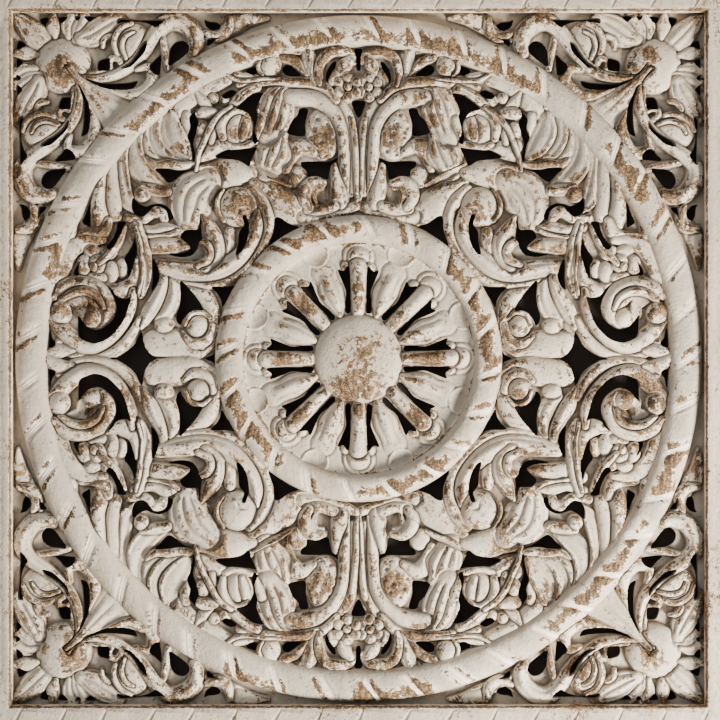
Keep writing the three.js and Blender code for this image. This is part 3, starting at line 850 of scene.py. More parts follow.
class NodeBoard:
    """A short way to lay out a material's nodes."""

    def __init__(self, name: str) -> None:
        """Start a material with an empty board of nodes."""
        self.material = bpy.data.materials.new(name)
        self.material.use_nodes = True
        self.tree = self.material.node_tree
        self.tree.nodes.clear()
        self.coordinates = self.add("ShaderNodeTexCoord").outputs["Object"]

    def add(self, kind: str) -> bpy.types.Node:
        """Add a node of a kind."""
        return self.tree.nodes.new(kind)

    def join(self, source: object, target: bpy.types.NodeSocket) -> None:
        """Link a socket to a target, or set the target to a plain value."""
        if isinstance(source, bpy.types.NodeSocket):
            self.tree.links.new(source, target)
        else:
            target.default_value = source

    def stretched(self, scale: tuple[float, float, float], turn: float = 0.0) -> bpy.types.NodeSocket:
        """Scale the object's coordinates, after a turn about Y in degrees."""
        node = self.add("ShaderNodeMapping")
        self.join(self.coordinates, node.inputs["Vector"])
        node.inputs["Rotation"].default_value = (0.0, math.radians(turn), 0.0)
        node.inputs["Scale"].default_value = scale
        return node.outputs["Vector"]

    def noise(
        self, scale: float, detail: float, rough: float = 0.55, vector: object = None,
    ) -> bpy.types.NodeSocket:
        """Add a noise pattern and give its value."""
        node = self.add("ShaderNodeTexNoise")
        self.join(vector or self.coordinates, node.inputs["Vector"])
        node.inputs["Scale"].default_value = scale
        node.inputs["Detail"].default_value = detail
        node.inputs["Roughness"].default_value = rough
        return node.outputs["Fac"]

    def math(
        self, operation: str, first: object, second: object = 0.0, clamp: bool = False,
    ) -> bpy.types.NodeSocket:
        """Add one sum and give its value."""
        node = self.add("ShaderNodeMath")
        node.operation = operation
        node.use_clamp = clamp
        self.join(first, node.inputs[0])
        self.join(second, node.inputs[1])
        return node.outputs[0]

    def between(self, value: object, low: float, high: float) -> bpy.types.NodeSocket:
        """Give 0 below a low value and 1 above a high one, with a smooth rise."""
        node = self.add("ShaderNodeMapRange")
        node.interpolation_type = "SMOOTHSTEP"
        self.join(value, node.inputs["Value"])
        node.inputs["From Min"].default_value = low
        node.inputs["From Max"].default_value = high
        return node.outputs["Result"]

    def blend(self, share: object, first: object, second: object, mode: str = "MIX") -> bpy.types.NodeSocket:
        """Mix two colours."""
        node = self.add("ShaderNodeMix")
        node.data_type = "RGBA"
        node.blend_type = mode
        self.join(share, node.inputs[0])
        self.join(first, node.inputs[6])
        self.join(second, node.inputs[7])
        return node.outputs[2]

    def attribute(self, name: str) -> bpy.types.NodeSocket:
        """Read one of the mesh's own values."""
        node = self.add("ShaderNodeAttribute")
        node.attribute_name = name
        return node.outputs["Fac"]


def whitewash(name: str, finish: Whitewash) -> bpy.types.Material:
    """Make the worn paint, with painted shade in the hollows and a painted highlight on the crests.

    Args:
        name: The material's name.
        finish: The colours and the amounts of wear.

    Returns:
        The material.
    """
    board = NodeBoard(name)
    wear = board.attribute("wear")
    hollow = board.attribute("hollow")
    tone = board.noise(finish.tone_scale, 3.0)
    stretched = board.stretched((1.0, 1.0, 0.22), finish.stroke_turn)
    strokes = board.noise(finish.stroke_scale, 4.0, 0.6, stretched)
    paint = board.blend(board.between(tone, 0.35, 0.65), finish.paint_cool, finish.paint_warm)
    streak = board.between(strokes, 0.3, 0.75)
    # Bright fresh paint fills the rope cuts, where the hollow value is below nought, and runs along brush
    # streaks.
    fresh_and_highlight = board.math("MULTIPLY", hollow, -0.8, True)
    fresh_and_highlight = board.math("ADD", fresh_and_highlight, board.math("MULTIPLY", streak, 0.25), True)
    # Painted highlight: proud crests and other places with a high wear value are lightened towards the bright
    # paint.
    fresh_and_highlight = board.math("ADD", fresh_and_highlight, board.math("MULTIPLY", wear, 0.45, True), True)
    paint = board.blend(fresh_and_highlight, paint, finish.bright_paint_and_highlight)
    # Painted shade: the deeper a place lies in a hollow, the darker it is made, partly evenly and partly
    # through a noise that mottles it like grime.
    deep = board.math("MAXIMUM", hollow, 0.0)
    hollow_shade_and_grime = board.math("MULTIPLY", deep, board.between(board.noise(finish.grime_scale, 3.0), 0.25, 0.7))
    hollow_shade_and_grime = board.math("ADD", board.math("MULTIPLY", deep, 0.4), board.math("MULTIPLY", hollow_shade_and_grime, 0.4), True)
    patches = board.noise(finish.patch_scale, 4.0, 0.6)
    chips = board.noise(finish.chip_scale, 4.0, 0.7)
    specks = board.noise(finish.speck_scale, 2.0, 0.6)
    bare = board.math("MULTIPLY", wear, finish.wear_share)
    bare = board.math("ADD", bare, board.math("MULTIPLY", patches, finish.patch_share))
    bare = board.math("ADD", bare, board.math("MULTIPLY", chips, finish.chip_share))
    bare = board.math("ADD", bare, board.math("MULTIPLY", specks, finish.speck_share))
    spot = board.attribute("spot")
    bare = board.math("ADD", bare, board.math("MULTIPLY", spot, finish.spot_share))
    mask = board.between(bare, finish.bare_start, finish.bare_end)
    pores = board.math("ADD", chips, board.math("MULTIPLY", specks, 0.4))
    pores = board.between(board.math("ADD", pores, board.math("MULTIPLY", patches, 0.3)), 1.0, 1.06)
    mask = board.math("MAXIMUM", mask, board.math("MULTIPLY", pores, 0.85))
    grain = board.noise(finish.grain_scale, 3.0, 0.6, board.stretched((1.0, 1.0, 0.15)))
    wood = board.blend(board.between(grain, 0.3, 0.65), finish.wood_dark, finish.wood_light)
    wood = board.blend(board.between(specks, 0.38, 0.60), finish.wood_dark, wood)
    mottle = board.math("MULTIPLY", board.between(chips, 0.45, 0.68), finish.mottle)
    paint = board.blend(mottle, paint, finish.grime_and_shade_colour)
    # The painted shade of the hollows, and the darkening of the back, go over both the paint and the bare
    # wood.
    colour = board.blend(hollow_shade_and_grime, board.blend(mask, paint, wood), finish.grime_and_shade_colour)
    shader = board.add("ShaderNodeBsdfPrincipled")
    board.join(colour, shader.inputs["Base Color"])
    shader.inputs["Roughness"].default_value = finish.roughness
    shader.inputs["Specular IOR Level"].default_value = finish.shine
    bump = board.add("ShaderNodeBump")
    bump.inputs["Strength"].default_value = finish.bump_strength
    bump.inputs["Distance"].default_value = finish.bump_depth
    level = board.math("SUBTRACT", board.math("MULTIPLY", chips, 0.8), board.math("MULTIPLY", mask, 0.6))
    level = board.math("ADD", level, board.math("MULTIPLY", strokes, 0.9))
    level = board.math("ADD", level, board.math("MULTIPLY", specks, 0.65))
    board.join(level, bump.inputs["Height"])
    board.join(bump.outputs["Normal"], shader.inputs["Normal"])
    output = board.add("ShaderNodeOutputMaterial")
    board.join(shader.outputs[0], output.inputs["Surface"])
    return board.material


def store_value(mesh: bpy.types.Mesh, name: str, values: np.ndarray) -> None:
    """Store one number for each vertex of a mesh."""
    layer = mesh.attributes.new(name, "FLOAT", "POINT")
    layer.data.foreach_set("value", np.asarray(values, dtype=np.float32))


def vertex_places(mesh: bpy.types.Mesh) -> np.ndarray:
    """Read the places of a mesh's vertices, one row each."""
    places = np.empty(len(mesh.vertices) * 3, dtype=np.float32)
    mesh.vertices.foreach_get("co", places)
    return places.reshape(-1, 3).astype(float)


def select_only(item: bpy.types.Object) -> None:
    """Select one object and make it the active one."""
    bpy.ops.object.select_all(action="DESELECT")
    item.select_set(True)
    bpy.context.view_layer.objects.active = item


class CarvedField:
    """A part of the carved board, as a closed solid with its openings sawn through."""

    BACK_INSET = 0.0003
    FRONT = -0.0005
    SMOOTH_ANGLE = 62.0
    SNAP_REACH = 0.62
    SNAP_LIMIT = 0.7
    FINE_REACH = 2.0
    BROAD_REACH = 6.0

    def __init__(self, name: str, relief: Relief, limit: np.ndarray, triangles: int) -> None:
        """Note what to build.

        Args:
            name: The piece's name.
            relief: The carving.
            limit: The distance inside the part's own outline, negative outside it.
            triangles: About how many triangles the finished piece has.
        """
        self.name = name
        self.relief = relief
        self.limit = limit
        self.triangles = triangles

    def build(self) -> bpy.types.Object:
        """Make the solid.

        Returns:
            The finished object.
        """
        points, quads, threes = self.face_grid()
        mesh = self.closed_mesh(points, quads, threes)
        item = bpy.data.objects.new(self.name, mesh)
        bpy.context.collection.objects.link(item)
        select_only(item)
        triangles = sum(polygon.loop_total - 2 for polygon in mesh.polygons)
        modifier = item.modifiers.new("fewer", "DECIMATE")
        modifier.ratio = min(1.0, self.triangles / triangles)
        bpy.ops.object.modifier_apply(modifier="fewer")
        bpy.ops.object.shade_smooth_by_angle(angle=math.radians(self.SMOOTH_ANGLE))
        self.note_wear(item.data)
        log.info("%s has %d faces", self.name, len(item.data.polygons))
        return item

    def face_grid(self) -> tuple[np.ndarray, np.ndarray, np.ndarray]:
        """Lay the carved face out as a grid whose edge follows each opening.

        Returns:
            The places of its vertices, its four-sided faces and its three-sided faces.
        """
        relief = self.relief
        step = relief.step
        inside = np.minimum(relief.gap, self.limit)
        slope_z, slope_x = np.gradient(inside, step)
        size = np.hypot(slope_x, slope_z) + 1e-6
        near = np.abs(inside) < self.SNAP_REACH * step
        shift = np.where(near, -inside / size, 0.0)
        shift = np.clip(shift, -self.SNAP_LIMIT * step, self.SNAP_LIMIT * step)
        x = relief.x + shift * slope_x / size
        z = relief.z + shift * slope_z / size
        level = np.where(near, 0.0, inside)
        keep = level >= 0.0
        middle = (level[:-1, :-1] + level[1:, :-1] + level[:-1, 1:] + level[1:, 1:]) > 0.02
        count = relief.count
        number = np.arange(count * count).reshape(count, count)
        corners = np.stack([number[:-1, :-1], number[:-1, 1:], number[1:, 1:], number[1:, :-1]], axis=-1)
        kept = np.stack([keep[:-1, :-1], keep[:-1, 1:], keep[1:, 1:], keep[1:, :-1]], axis=-1)
        total = kept.sum(axis=-1)
        quads = corners[(total == 4) & middle]
        partial = (total == 3) & middle
        threes = corners[partial][kept[partial]].reshape(-1, 3)
        used = np.zeros(count * count, dtype=bool)
        used[quads.ravel()] = True
        used[threes.ravel()] = True
        renumber = np.cumsum(used) - 1
        height = relief.height.ravel()[used]
        points = np.column_stack([x.ravel()[used] * GRID, -height * MILLIMETRE, z.ravel()[used] * GRID])
        return points, renumber[quads], renumber[threes]

    def closed_mesh(self, points: np.ndarray, quads: np.ndarray, threes: np.ndarray) -> bpy.types.Mesh:
        """Add a flat back under the face and walls round every edge of it.

        Args:
            points: The places of the face's vertices.
            quads: The face's four-sided faces.
            threes: The face's three-sided faces.

        Returns:
            A closed mesh.
        """
        count = len(points)
        back = points * np.array([1.0, 0.0, 1.0]) - np.array([0.0, self.BACK_INSET, 0.0])
        start = np.concatenate([quads.ravel(), threes.ravel()])
        end = np.concatenate([np.roll(quads, -1, axis=1).ravel(), np.roll(threes, -1, axis=1).ravel()])
        edge = ~np.isin(start * count + end, end * count + start)
        start, end = start[edge], end[edge]
        walls = np.column_stack([end, start, start + count, end + count])
        fours = np.concatenate([quads, quads[:, ::-1] + count, walls])
        triples = np.concatenate([threes, threes[:, ::-1] + count])
        mesh = bpy.data.meshes.new(self.name)
        mesh.vertices.add(2 * count)
        mesh.vertices.foreach_set("co", np.concatenate([points, back]).ravel())
        mesh.loops.add(fours.size + triples.size)
        mesh.loops.foreach_set("vertex_index", np.concatenate([fours.ravel(), triples.ravel()]))
        mesh.polygons.add(len(fours) + len(triples))
        first = np.concatenate([4 * np.arange(len(fours)), fours.size + 3 * np.arange(len(triples))])
        mesh.polygons.foreach_set("loop_start", first)
        mesh.update(calc_edges=True)
        return mesh

    def note_wear(self, mesh: bpy.types.Mesh) -> None:
        """Store how proud and how deep each vertex is, for the paint's wear, its painted highlight on the
        crests and its painted shade in the hollows.
        """
        relief = self.relief
        fine = relief.height - blurred(relief.height, max(1, round(self.FINE_REACH / relief.step)))
        broad = relief.height - blurred(relief.height, max(2, round(self.BROAD_REACH / relief.step)))
        places = vertex_places(mesh)
        front = places[:, 1] < self.FRONT
        proud = relief.sample(fine, places[:, 0], places[:, 2])
        stand = relief.sample(broad, places[:, 0], places[:, 2])
        wear = np.clip(0.5 * proud + 0.22 * stand, -1.0, 1.0)
        hollow = np.clip(-0.45 * proud - 0.22 * stand, 0.0, 1.0)
        store_value(mesh, "wear", np.where(front, wear, BACK_WEAR))
        store_value(mesh, "spot", worn_spots(places[:, 0] / GRID, places[:, 2] / GRID) * front)
        store_value(mesh, "hollow", np.where(front, hollow, BACK_DARKENING))


# Places where hands and knocks have rubbed the paint off: x, z, radius and how much.
WORN_SPOTS = (
    (0, -32, 26, 1.0), (0, 10, 22, 0.5), (-112, 152, 22, 0.9), (120, 152, 14, 0.5), (-72, 172, 15, 0.9),
    (80, 174, 12, 0.7), (-38, 160, 13, 1.0), (42, 165, 8, 0.8), (-140, 187, 13, 0.8), (150, 186, 11, 0.8),
    (-262, 124, 17, 1.0), (-180, 206, 12, 0.7), (-192, 166, 12, 0.9), (182, 197, 13, 0.9),
    (214, 162, 12, 0.7), (-33, 217, 14, 1.0), (34, 217, 14, 1.0), (-35, -223, 16, 0.9), (34, -225, 14, 0.9),
    (16, 305, 11, 0.7), (117, 226, 9, 1.0), (-118, 224, 10, 1.0), (-82, 236, 11, 0.9), (74, 236, 9, 0.8),
    (-58, -274, 14, 1.0), (58, -274, 14, 1.0), (-12, -242, 9, 1.0), (66, 208, 12, 0.9),
    (-140, -190, 15, 0.9), (146, -190, 14, 0.8), (190, -234, 13, 0.9), (265, -55, 12, 0.9),
    (270, 52, 11, 0.8), (-262, -60, 16, 0.9), (-264, 54, 13, 0.8), (161, -38, 9, 0.9), (170, -103, 13, 0.8),
    (292, 301, 10, 0.8), (-297, 288, 14, 0.9), (-286, -300, 15, 0.9), (292, -298, 13, 0.8),
    (218, -306, 14, 0.7), (276, 126, 11, 0.8), (-60, 52, 14, 0.8), (0, 66, 13, 0.8), (-74, -1, 15, 0.9),
    (74, -4, 13, 0.8), (60, -58, 14, 0.8), (-58, -58, 12, 0.7), (-255, 254, 12, 0.8),
)


def worn_spots(x: np.ndarray, z: np.ndarray) -> np.ndarray:
    """Give the wear that the worn spots add at some places of the plan."""
    total = np.zeros(x.shape)
    for spot_x, spot_z, radius, amount in WORN_SPOTS:
        off = ((x - spot_x) ** 2 + (z - spot_z) ** 2) / radius**2
        total = np.maximum(total, amount * np.exp(-off * off))
    return total


# The worn stretches of the rope rings: from and to, in degrees clockwise from the top, and the
# side, from -1 at the inner edge to 1 at the outer edge.
OUTER_RING_WORN = (
    (-3.0, 35.0, -0.35), (48.0, 62.0, -0.1), (104.0, 116.0, 0.1), (118.0, 146.0, 0.05), (166.0, 182.0, 0.6),
    (192.0, 204.0, 0.7), (283.0, 292.0, -0.5), (314.0, 330.0, -0.35), (336.0, 347.0, -0.4),
    (347.0, 358.0, -0.35),
)
INNER_RING_WORN = (
    (44.0, 92.0, -0.1), (136.0, 152.0, 0.2), (150.0, 182.0, 0.25), (214.0, 238.0, -0.1), (237.0, 262.0, 0.1),
    (328.0, 362.0, 0.0),
)


@dataclass(frozen=True)
class RopeRing:
    """A ring carved like a rope, with slanting cuts across it."""

    name: str
    inner: float
    outer: float
    cuts: int
    first: float
    slant: float
    worn: tuple[tuple[float, float, float], ...]
    crest: float = 19.0
    shoulder: float = 10.5
    cut_half: float = 2.3
    dip_depth: float = 2.0
    dip_half: float = 6.5
    across: int = 22
    per_cut: int = 30
    cut_shift: float = 0.09
    swell: float = 0.6
    smooth_angle: float = 60.0

    @property
    def middle(self) -> float:
        """The radius of the ring's middle."""
        return 0.5 * (self.inner + self.outer)

    @property
    def period(self) -> float:
        """The distance from one cut to the next along the ring's middle."""
        return 2.0 * math.pi * self.middle / self.cuts

    def build(self, quality: float) -> bpy.types.Object:
        """Make the ring as a closed solid.

        Args:
            quality: The share of the full number of points to use.

        Returns:
            The finished object.
        """
        rng = np.random.default_rng(SEED + self.cuts)
        per_cut = max(10, round(self.per_cut * quality))
        u = np.sin(np.linspace(-math.pi / 2, math.pi / 2, max(8, round(self.across * quality))))
        even = np.linspace(-0.5, 0.5, per_cut, endpoint=False)
        local = even * (0.45 + 2.2 * even * even)
        turn = (np.arange(self.cuts)[:, None] + local[None, :]).ravel()
        from_cut = np.tile(local * self.period, self.cuts)
        angle = self.angles(turn, u, rng)
        depth = np.repeat(rng.uniform(0.6, 1.2, self.cuts), per_cut) * self.dip_depth
        reach = np.clip((u + 0.62) / 0.35, 0.0, 1.0) * np.clip((1.0 - u) / 0.12, 0.0, 1.0)
        cut = np.clip(1.6 - np.abs(from_cut) / self.cut_half, 0.0, 1.0)
        item = self.solid(angle, u, self.heights(u, from_cut, depth, cut, reach))
        self.note_wear(item.data, angle, u, from_cut, cut, reach, rng)
        return item

    def angles(self, turn: np.ndarray, u: np.ndarray, rng: np.random.Generator) -> np.ndarray:
        """Give the angle of each place, with the cuts leaning and unevenly spaced.

        Args:
            turn: The places along the ring, counted in cuts.
            u: The places across the ring, -1 at its inner edge and 1 at its outer edge.
            rng: The source of the uneven spacing.

        Returns:
            Angles clockwise from the top, one row for each place along the ring.
        """
        places = np.arange(self.cuts) + rng.uniform(-self.cut_shift, self.cut_shift, self.cuts)
        even = np.arange(-1, self.cuts + 1)
        uneven = np.concatenate([[places[-1] - self.cuts], places, [places[0] + self.cuts]])
        jitter = np.interp(turn, even, uneven - even)
        lean = self.slant * u
        angle = 2.0 * math.pi * (turn[:, None] + jitter[:, None] - lean[None, :]) / self.cuts
        return angle + math.radians(self.first)

    def heights(
        self, u: np.ndarray, from_cut: np.ndarray, depth: np.ndarray, cut: np.ndarray, reach: np.ndarray,
    ) -> np.ndarray:
        """Give the height of each place: a rounded top, lower towards each cut.

        Args:
            u: The places across the ring.
            from_cut: The distance of each place along the ring from its cut.
            depth: The depth of the dip at that cut.
            cut: 1 in the cut's own filling and 0 clear of it.
            reach: How far the cut runs across the ring at each place across it.

        Returns:
            The heights, one row for each place along the ring.
        """
        dip = np.clip(1.0 - np.abs(from_cut) / self.dip_half, 0.0, 1.0) ** 0.8
        swell = self.swell * np.cos(math.pi * from_cut / self.period) ** 2
        round_top = np.sqrt(np.clip(1.0 - np.abs(u) ** 2.3, 0.0, 1.0))
        body = self.shoulder + (self.crest - self.shoulder) * round_top
        return body[None, :] - swell[:, None] - (depth * (dip - 0.45 * cut))[:, None] * reach[None, :]

    def solid(self, angle: np.ndarray, u: np.ndarray, height: np.ndarray) -> bpy.types.Object:
        """Close the ring's face with its two sides and a flat back.

        Args:
            angle: The angle of each place.
            u: The places across the ring.
            height: The height of each place.

        Returns:
            The ring's object.
        """
        half = 0.5 * (self.outer - self.inner)
        radius = self.middle + half * u[None, :] + 0.5 * np.sin(9.0 * angle) * (1.0 - u[None, :] ** 2)
        points = np.stack(
            [radius * np.sin(angle) * GRID, -height * MILLIMETRE, radius * np.cos(angle) * GRID], axis=-1)
        flat = np.array([1.0, 0.0, 1.0])
        section = np.concatenate([points[:, :1] * flat, points, points[:, -1:] * flat], axis=1)
        rings, spots = section.shape[:2]
        number = np.arange(rings * spots).reshape(rings, spots)
        after = np.roll(number, -1, axis=0)
        faces = np.stack(
            [number, np.roll(number, -1, axis=1), np.roll(after, -1, axis=1), after], axis=-1).reshape(-1, 4)
        mesh = bpy.data.meshes.new(self.name)
        mesh.from_pydata(section.reshape(-1, 3).tolist(), [], faces.tolist())
        item = bpy.data.objects.new(self.name, mesh)
        bpy.context.collection.objects.link(item)
        select_only(item)
        bpy.ops.object.mode_set(mode="EDIT")
        bpy.ops.mesh.select_all(action="SELECT")
        bpy.ops.mesh.normals_make_consistent(inside=False)
        bpy.ops.object.mode_set(mode="OBJECT")
        bpy.ops.object.shade_smooth_by_angle(angle=math.radians(self.smooth_angle))
        return item

    def note_wear(
        self, mesh: bpy.types.Mesh, angle: np.ndarray, u: np.ndarray, from_cut: np.ndarray,
        cut: np.ndarray, reach: np.ndarray, rng: np.random.Generator,
    ) -> None:
        """Store the wear beside the cuts, the bright filling in them and the painted shade at the rims.

        Args:
            mesh: The ring's mesh.
            angle: The angle of each place.
            u: The places across the ring.
            from_cut: The distance of each place along the ring from its cut.
            cut: 1 in the cut's own filling and 0 clear of it.
            reach: How far the cut runs across the ring at each place across it.
            rng: The source of the uneven wear.
        """
        rings = len(from_cut)
        lip = np.exp(-(((np.abs(from_cut) - 2.9 * self.cut_half) / (1.8 * self.cut_half)) ** 2))
        uneven = np.repeat(rng.uniform(0.1, 1.2, (2, self.cuts)), rings // self.cuts, axis=1)
        lip = lip * np.where(from_cut < 0.0, uneven[0], uneven[1])
        wear = np.zeros((rings, len(u) + 2))
        hollow = np.full(wear.shape, BACK_DARKENING)
        wear[:, 1:-1] = self.worn_share(np.degrees(angle), u) + 1.5 * lip[:, None] * reach[None, :]
        wear[:, 1:-1] -= 1.6 * cut[:, None] * reach[None, :]
        # The rims, where the ring drops to the ground, are darkened: painted shade.
        rim = np.clip(np.abs(u) - 0.85, 0.0, 0.15) / 0.15
        hollow[:, 1:-1] = 0.5 * rim[None, :] - cut[:, None] * reach[None, :]
        store_value(mesh, "wear", wear.ravel())
        store_value(mesh, "hollow", hollow.ravel())

    def worn_share(self, degrees: np.ndarray, u: np.ndarray) -> np.ndarray:
        """Give how much more the paint is worn along the ring's worn stretches.

        Args:
            degrees: The angle of each place, clockwise from the top.
            u: The place across the ring, -1 at its inner edge and 1 at its outer edge.

        Returns:
            The added wear of each place.
        """
        total = np.full(degrees.shape, -0.15)
        for start, end, side in self.worn:
            middle = 0.5 * (start + end)
            off = np.abs((degrees - middle + 180.0) % 360.0 - 180.0)
            along = np.clip((0.5 * (end - start) - off) / 2.0, 0.0, 1.0)
            total = total + 1.6 * along * np.exp(-(((u[None, :] - side) / 0.48) ** 2))
        return total


@dataclass(frozen=True)
class Rail:
    """One side of the frame, mitred at both ends, with shallow slanting gouges."""

    outer: float = 0.305
    width: float = 0.030
    depth: float = 0.024
    lip_gap: float = 0.0123
    rebate: float = 0.0053
    rounding: float = 0.0035
    gouge_pitch: float = 0.034
    gouge_turn: float = 28.0
    gouge_radii: tuple[float, float, float] = (0.0022, 0.0016, 0.017)
    gouge_lift: float = 0.0006
    gouge_shift: float = 0.002
    gouge_sway: float = 4.0
    arris_from_edge: float = 0.0012
    arris_half: float = 0.0014
    arris_wear: float = 2.3

    def build(self, name: str, turn: float) -> bpy.types.Object:
        """Make one rail.

        Args:
            name: The piece's name.
            turn: The turn from the right-hand rail, in degrees.

        Returns:
            The finished object.
        """
        item = self.bar(name)
        self.gouge(item, turn)
        self.mitre(item)
        select_only(item)
        item.rotation_euler = (0.0, -math.radians(turn), 0.0)
        bpy.ops.object.transform_apply(location=False, rotation=True, scale=False)
        self.note_wear(item.data, turn)
        return item

    def bar(self, name: str) -> bpy.types.Object:
        """Make the right-hand rail as a straight bar with its rebate."""
        inner = self.outer - self.width
        bpy.ops.object.select_all(action="DESELECT")
        bpy.ops.mesh.primitive_cube_add(size=1.0, location=(0.0, 0.0, 0.0))
        item = bpy.context.object
        item.name = name
        item.data.name = name
        bpy.ops.object.mode_set(mode="EDIT")
        bpy.ops.transform.resize(value=(self.width, self.depth, 2.0 * self.outer + 0.02),
                                 center_override=(0.0, 0.0, 0.0))
        bpy.ops.transform.translate(value=(inner + self.width / 2.0, -self.depth / 2.0, 0.0))
        bpy.ops.object.mode_set(mode="OBJECT")
        select_only(item)
        bevel = item.modifiers.new("round", "BEVEL")
        bevel.width = self.rounding
        bevel.segments = 5
        bevel.limit_method = "WEIGHT"
        layer = item.data.attributes.new("bevel_weight_edge", "FLOAT", "EDGE")
        for edge in item.data.edges:
            first, second = (item.data.vertices[index].co for index in edge.vertices)
            runs_up = abs(first.z - second.z) > 0.1
            if runs_up and first.y < -0.5 * self.depth:
                layer.data[edge.index].value = 1.0
        bpy.ops.object.modifier_apply(modifier="round")
        self.cut_box(item, (inner - 0.01, self.outer - self.width + self.rebate), (-self.lip_gap, 0.01), 0.4)
        return item

    def cut_box(self, item: bpy.types.Object, x: Point, y: Point, half_length: float) -> None:
        """Cut a box out of the bar."""
        bpy.ops.object.select_all(action="DESELECT")
        bpy.ops.mesh.primitive_cube_add(size=1.0, location=(0.0, 0.0, 0.0))
        tool = bpy.context.object
        bpy.ops.object.mode_set(mode="EDIT")
        bpy.ops.transform.resize(value=(x[1] - x[0], y[1] - y[0], 2.0 * half_length),
                                 center_override=(0.0, 0.0, 0.0))
        bpy.ops.transform.translate(value=((x[0] + x[1]) / 2.0, (y[0] + y[1]) / 2.0, 0.0))
        bpy.ops.object.mode_set(mode="OBJECT")
        self.subtract(item, tool)

    def subtract(self, item: bpy.types.Object, tool: bpy.types.Object) -> None:
        """Take a tool's shape out of an object and remove the tool."""
        select_only(item)
        cut = item.modifiers.new("cut", "BOOLEAN")
        cut.operation = "DIFFERENCE"
        cut.solver = "EXACT"
        cut.object = tool
        bpy.ops.object.modifier_apply(modifier="cut")
        bpy.data.objects.remove(tool, do_unlink=True)

    def gouge(self, item: bpy.types.Object, turn: float) -> None:
        """Press a row of shallow slanting gouges into the rail's face."""
        rng = np.random.default_rng(SEED + round(turn))
        count = int(2.0 * self.outer / self.gouge_pitch)
        upright = abs(math.sin(math.radians(turn))) < 0.5
        lean = 90.0 - self.gouge_turn if not upright else self.gouge_turn
        middle = self.outer - self.width / 2.0
        tools = []
        for index in range(count):
            place = (index + 0.5 - count / 2.0) * self.gouge_pitch
            place += rng.uniform(-self.gouge_shift, self.gouge_shift)
            bpy.ops.object.select_all(action="DESELECT")
            bpy.ops.mesh.primitive_uv_sphere_add(segments=20, ring_count=12, radius=1.0)
            tool = bpy.context.object
            bpy.ops.object.mode_set(mode="EDIT")
            bpy.ops.transform.resize(value=self.gouge_radii, center_override=(0.0, 0.0, 0.0))
            sway = rng.uniform(-self.gouge_sway, self.gouge_sway)
            bpy.ops.transform.rotate(value=math.radians(lean + sway), orient_axis="Y",
                                     center_override=(0.0, 0.0, 0.0))
            bpy.ops.transform.translate(value=(middle, -self.depth - self.gouge_lift, place))
            bpy.ops.object.mode_set(mode="OBJECT")
            tools.append(tool)
        for tool in tools:
            tool.select_set(True)
        bpy.context.view_layer.objects.active = tools[0]
        bpy.ops.object.join()
        self.subtract(item, tools[0])

    def mitre(self, item: bpy.types.Object) -> None:
        """Cut both ends of the right-hand rail at 45 degrees."""
        select_only(item)
        bpy.ops.object.mode_set(mode="EDIT")
        for sign in (1.0, -1.0):
            bpy.ops.mesh.select_all(action="SELECT")
            bpy.ops.mesh.bisect(plane_co=(0.0, 0.0, 0.0), plane_no=(-1.0, 0.0, sign), use_fill=True,
                                clear_outer=True)
        bpy.ops.mesh.select_all(action="SELECT")
        bpy.ops.mesh.normals_make_consistent(inside=False)
        bpy.ops.object.mode_set(mode="OBJECT")
        bpy.ops.object.shade_smooth_by_angle(angle=math.radians(40.0))

    def note_wear(self, mesh: bpy.types.Mesh, turn: float) -> None:
        """Store the wear of the rail's inner arris for the paint."""
        places = vertex_places(mesh)
        reach = np.maximum(np.abs(places[:, 0]), np.abs(places[:, 2]))
        inner = self.outer - self.width
        arris = np.clip(1.0 - np.abs(reach - inner - self.arris_from_edge) / self.arris_half, 0.0, 1.0)
        arris = arris * (places[:, 1] < -self.lip_gap)
        back = places[:, 1] > -0.001
        store_value(mesh, "wear", np.where(back, BACK_WEAR, self.arris_wear * arris))
        store_value(mesh, "hollow", np.where(back, BACK_DARKENING, 0.0))
        store_value(mesh, "spot", np.where(back, 0.0, 0.1))


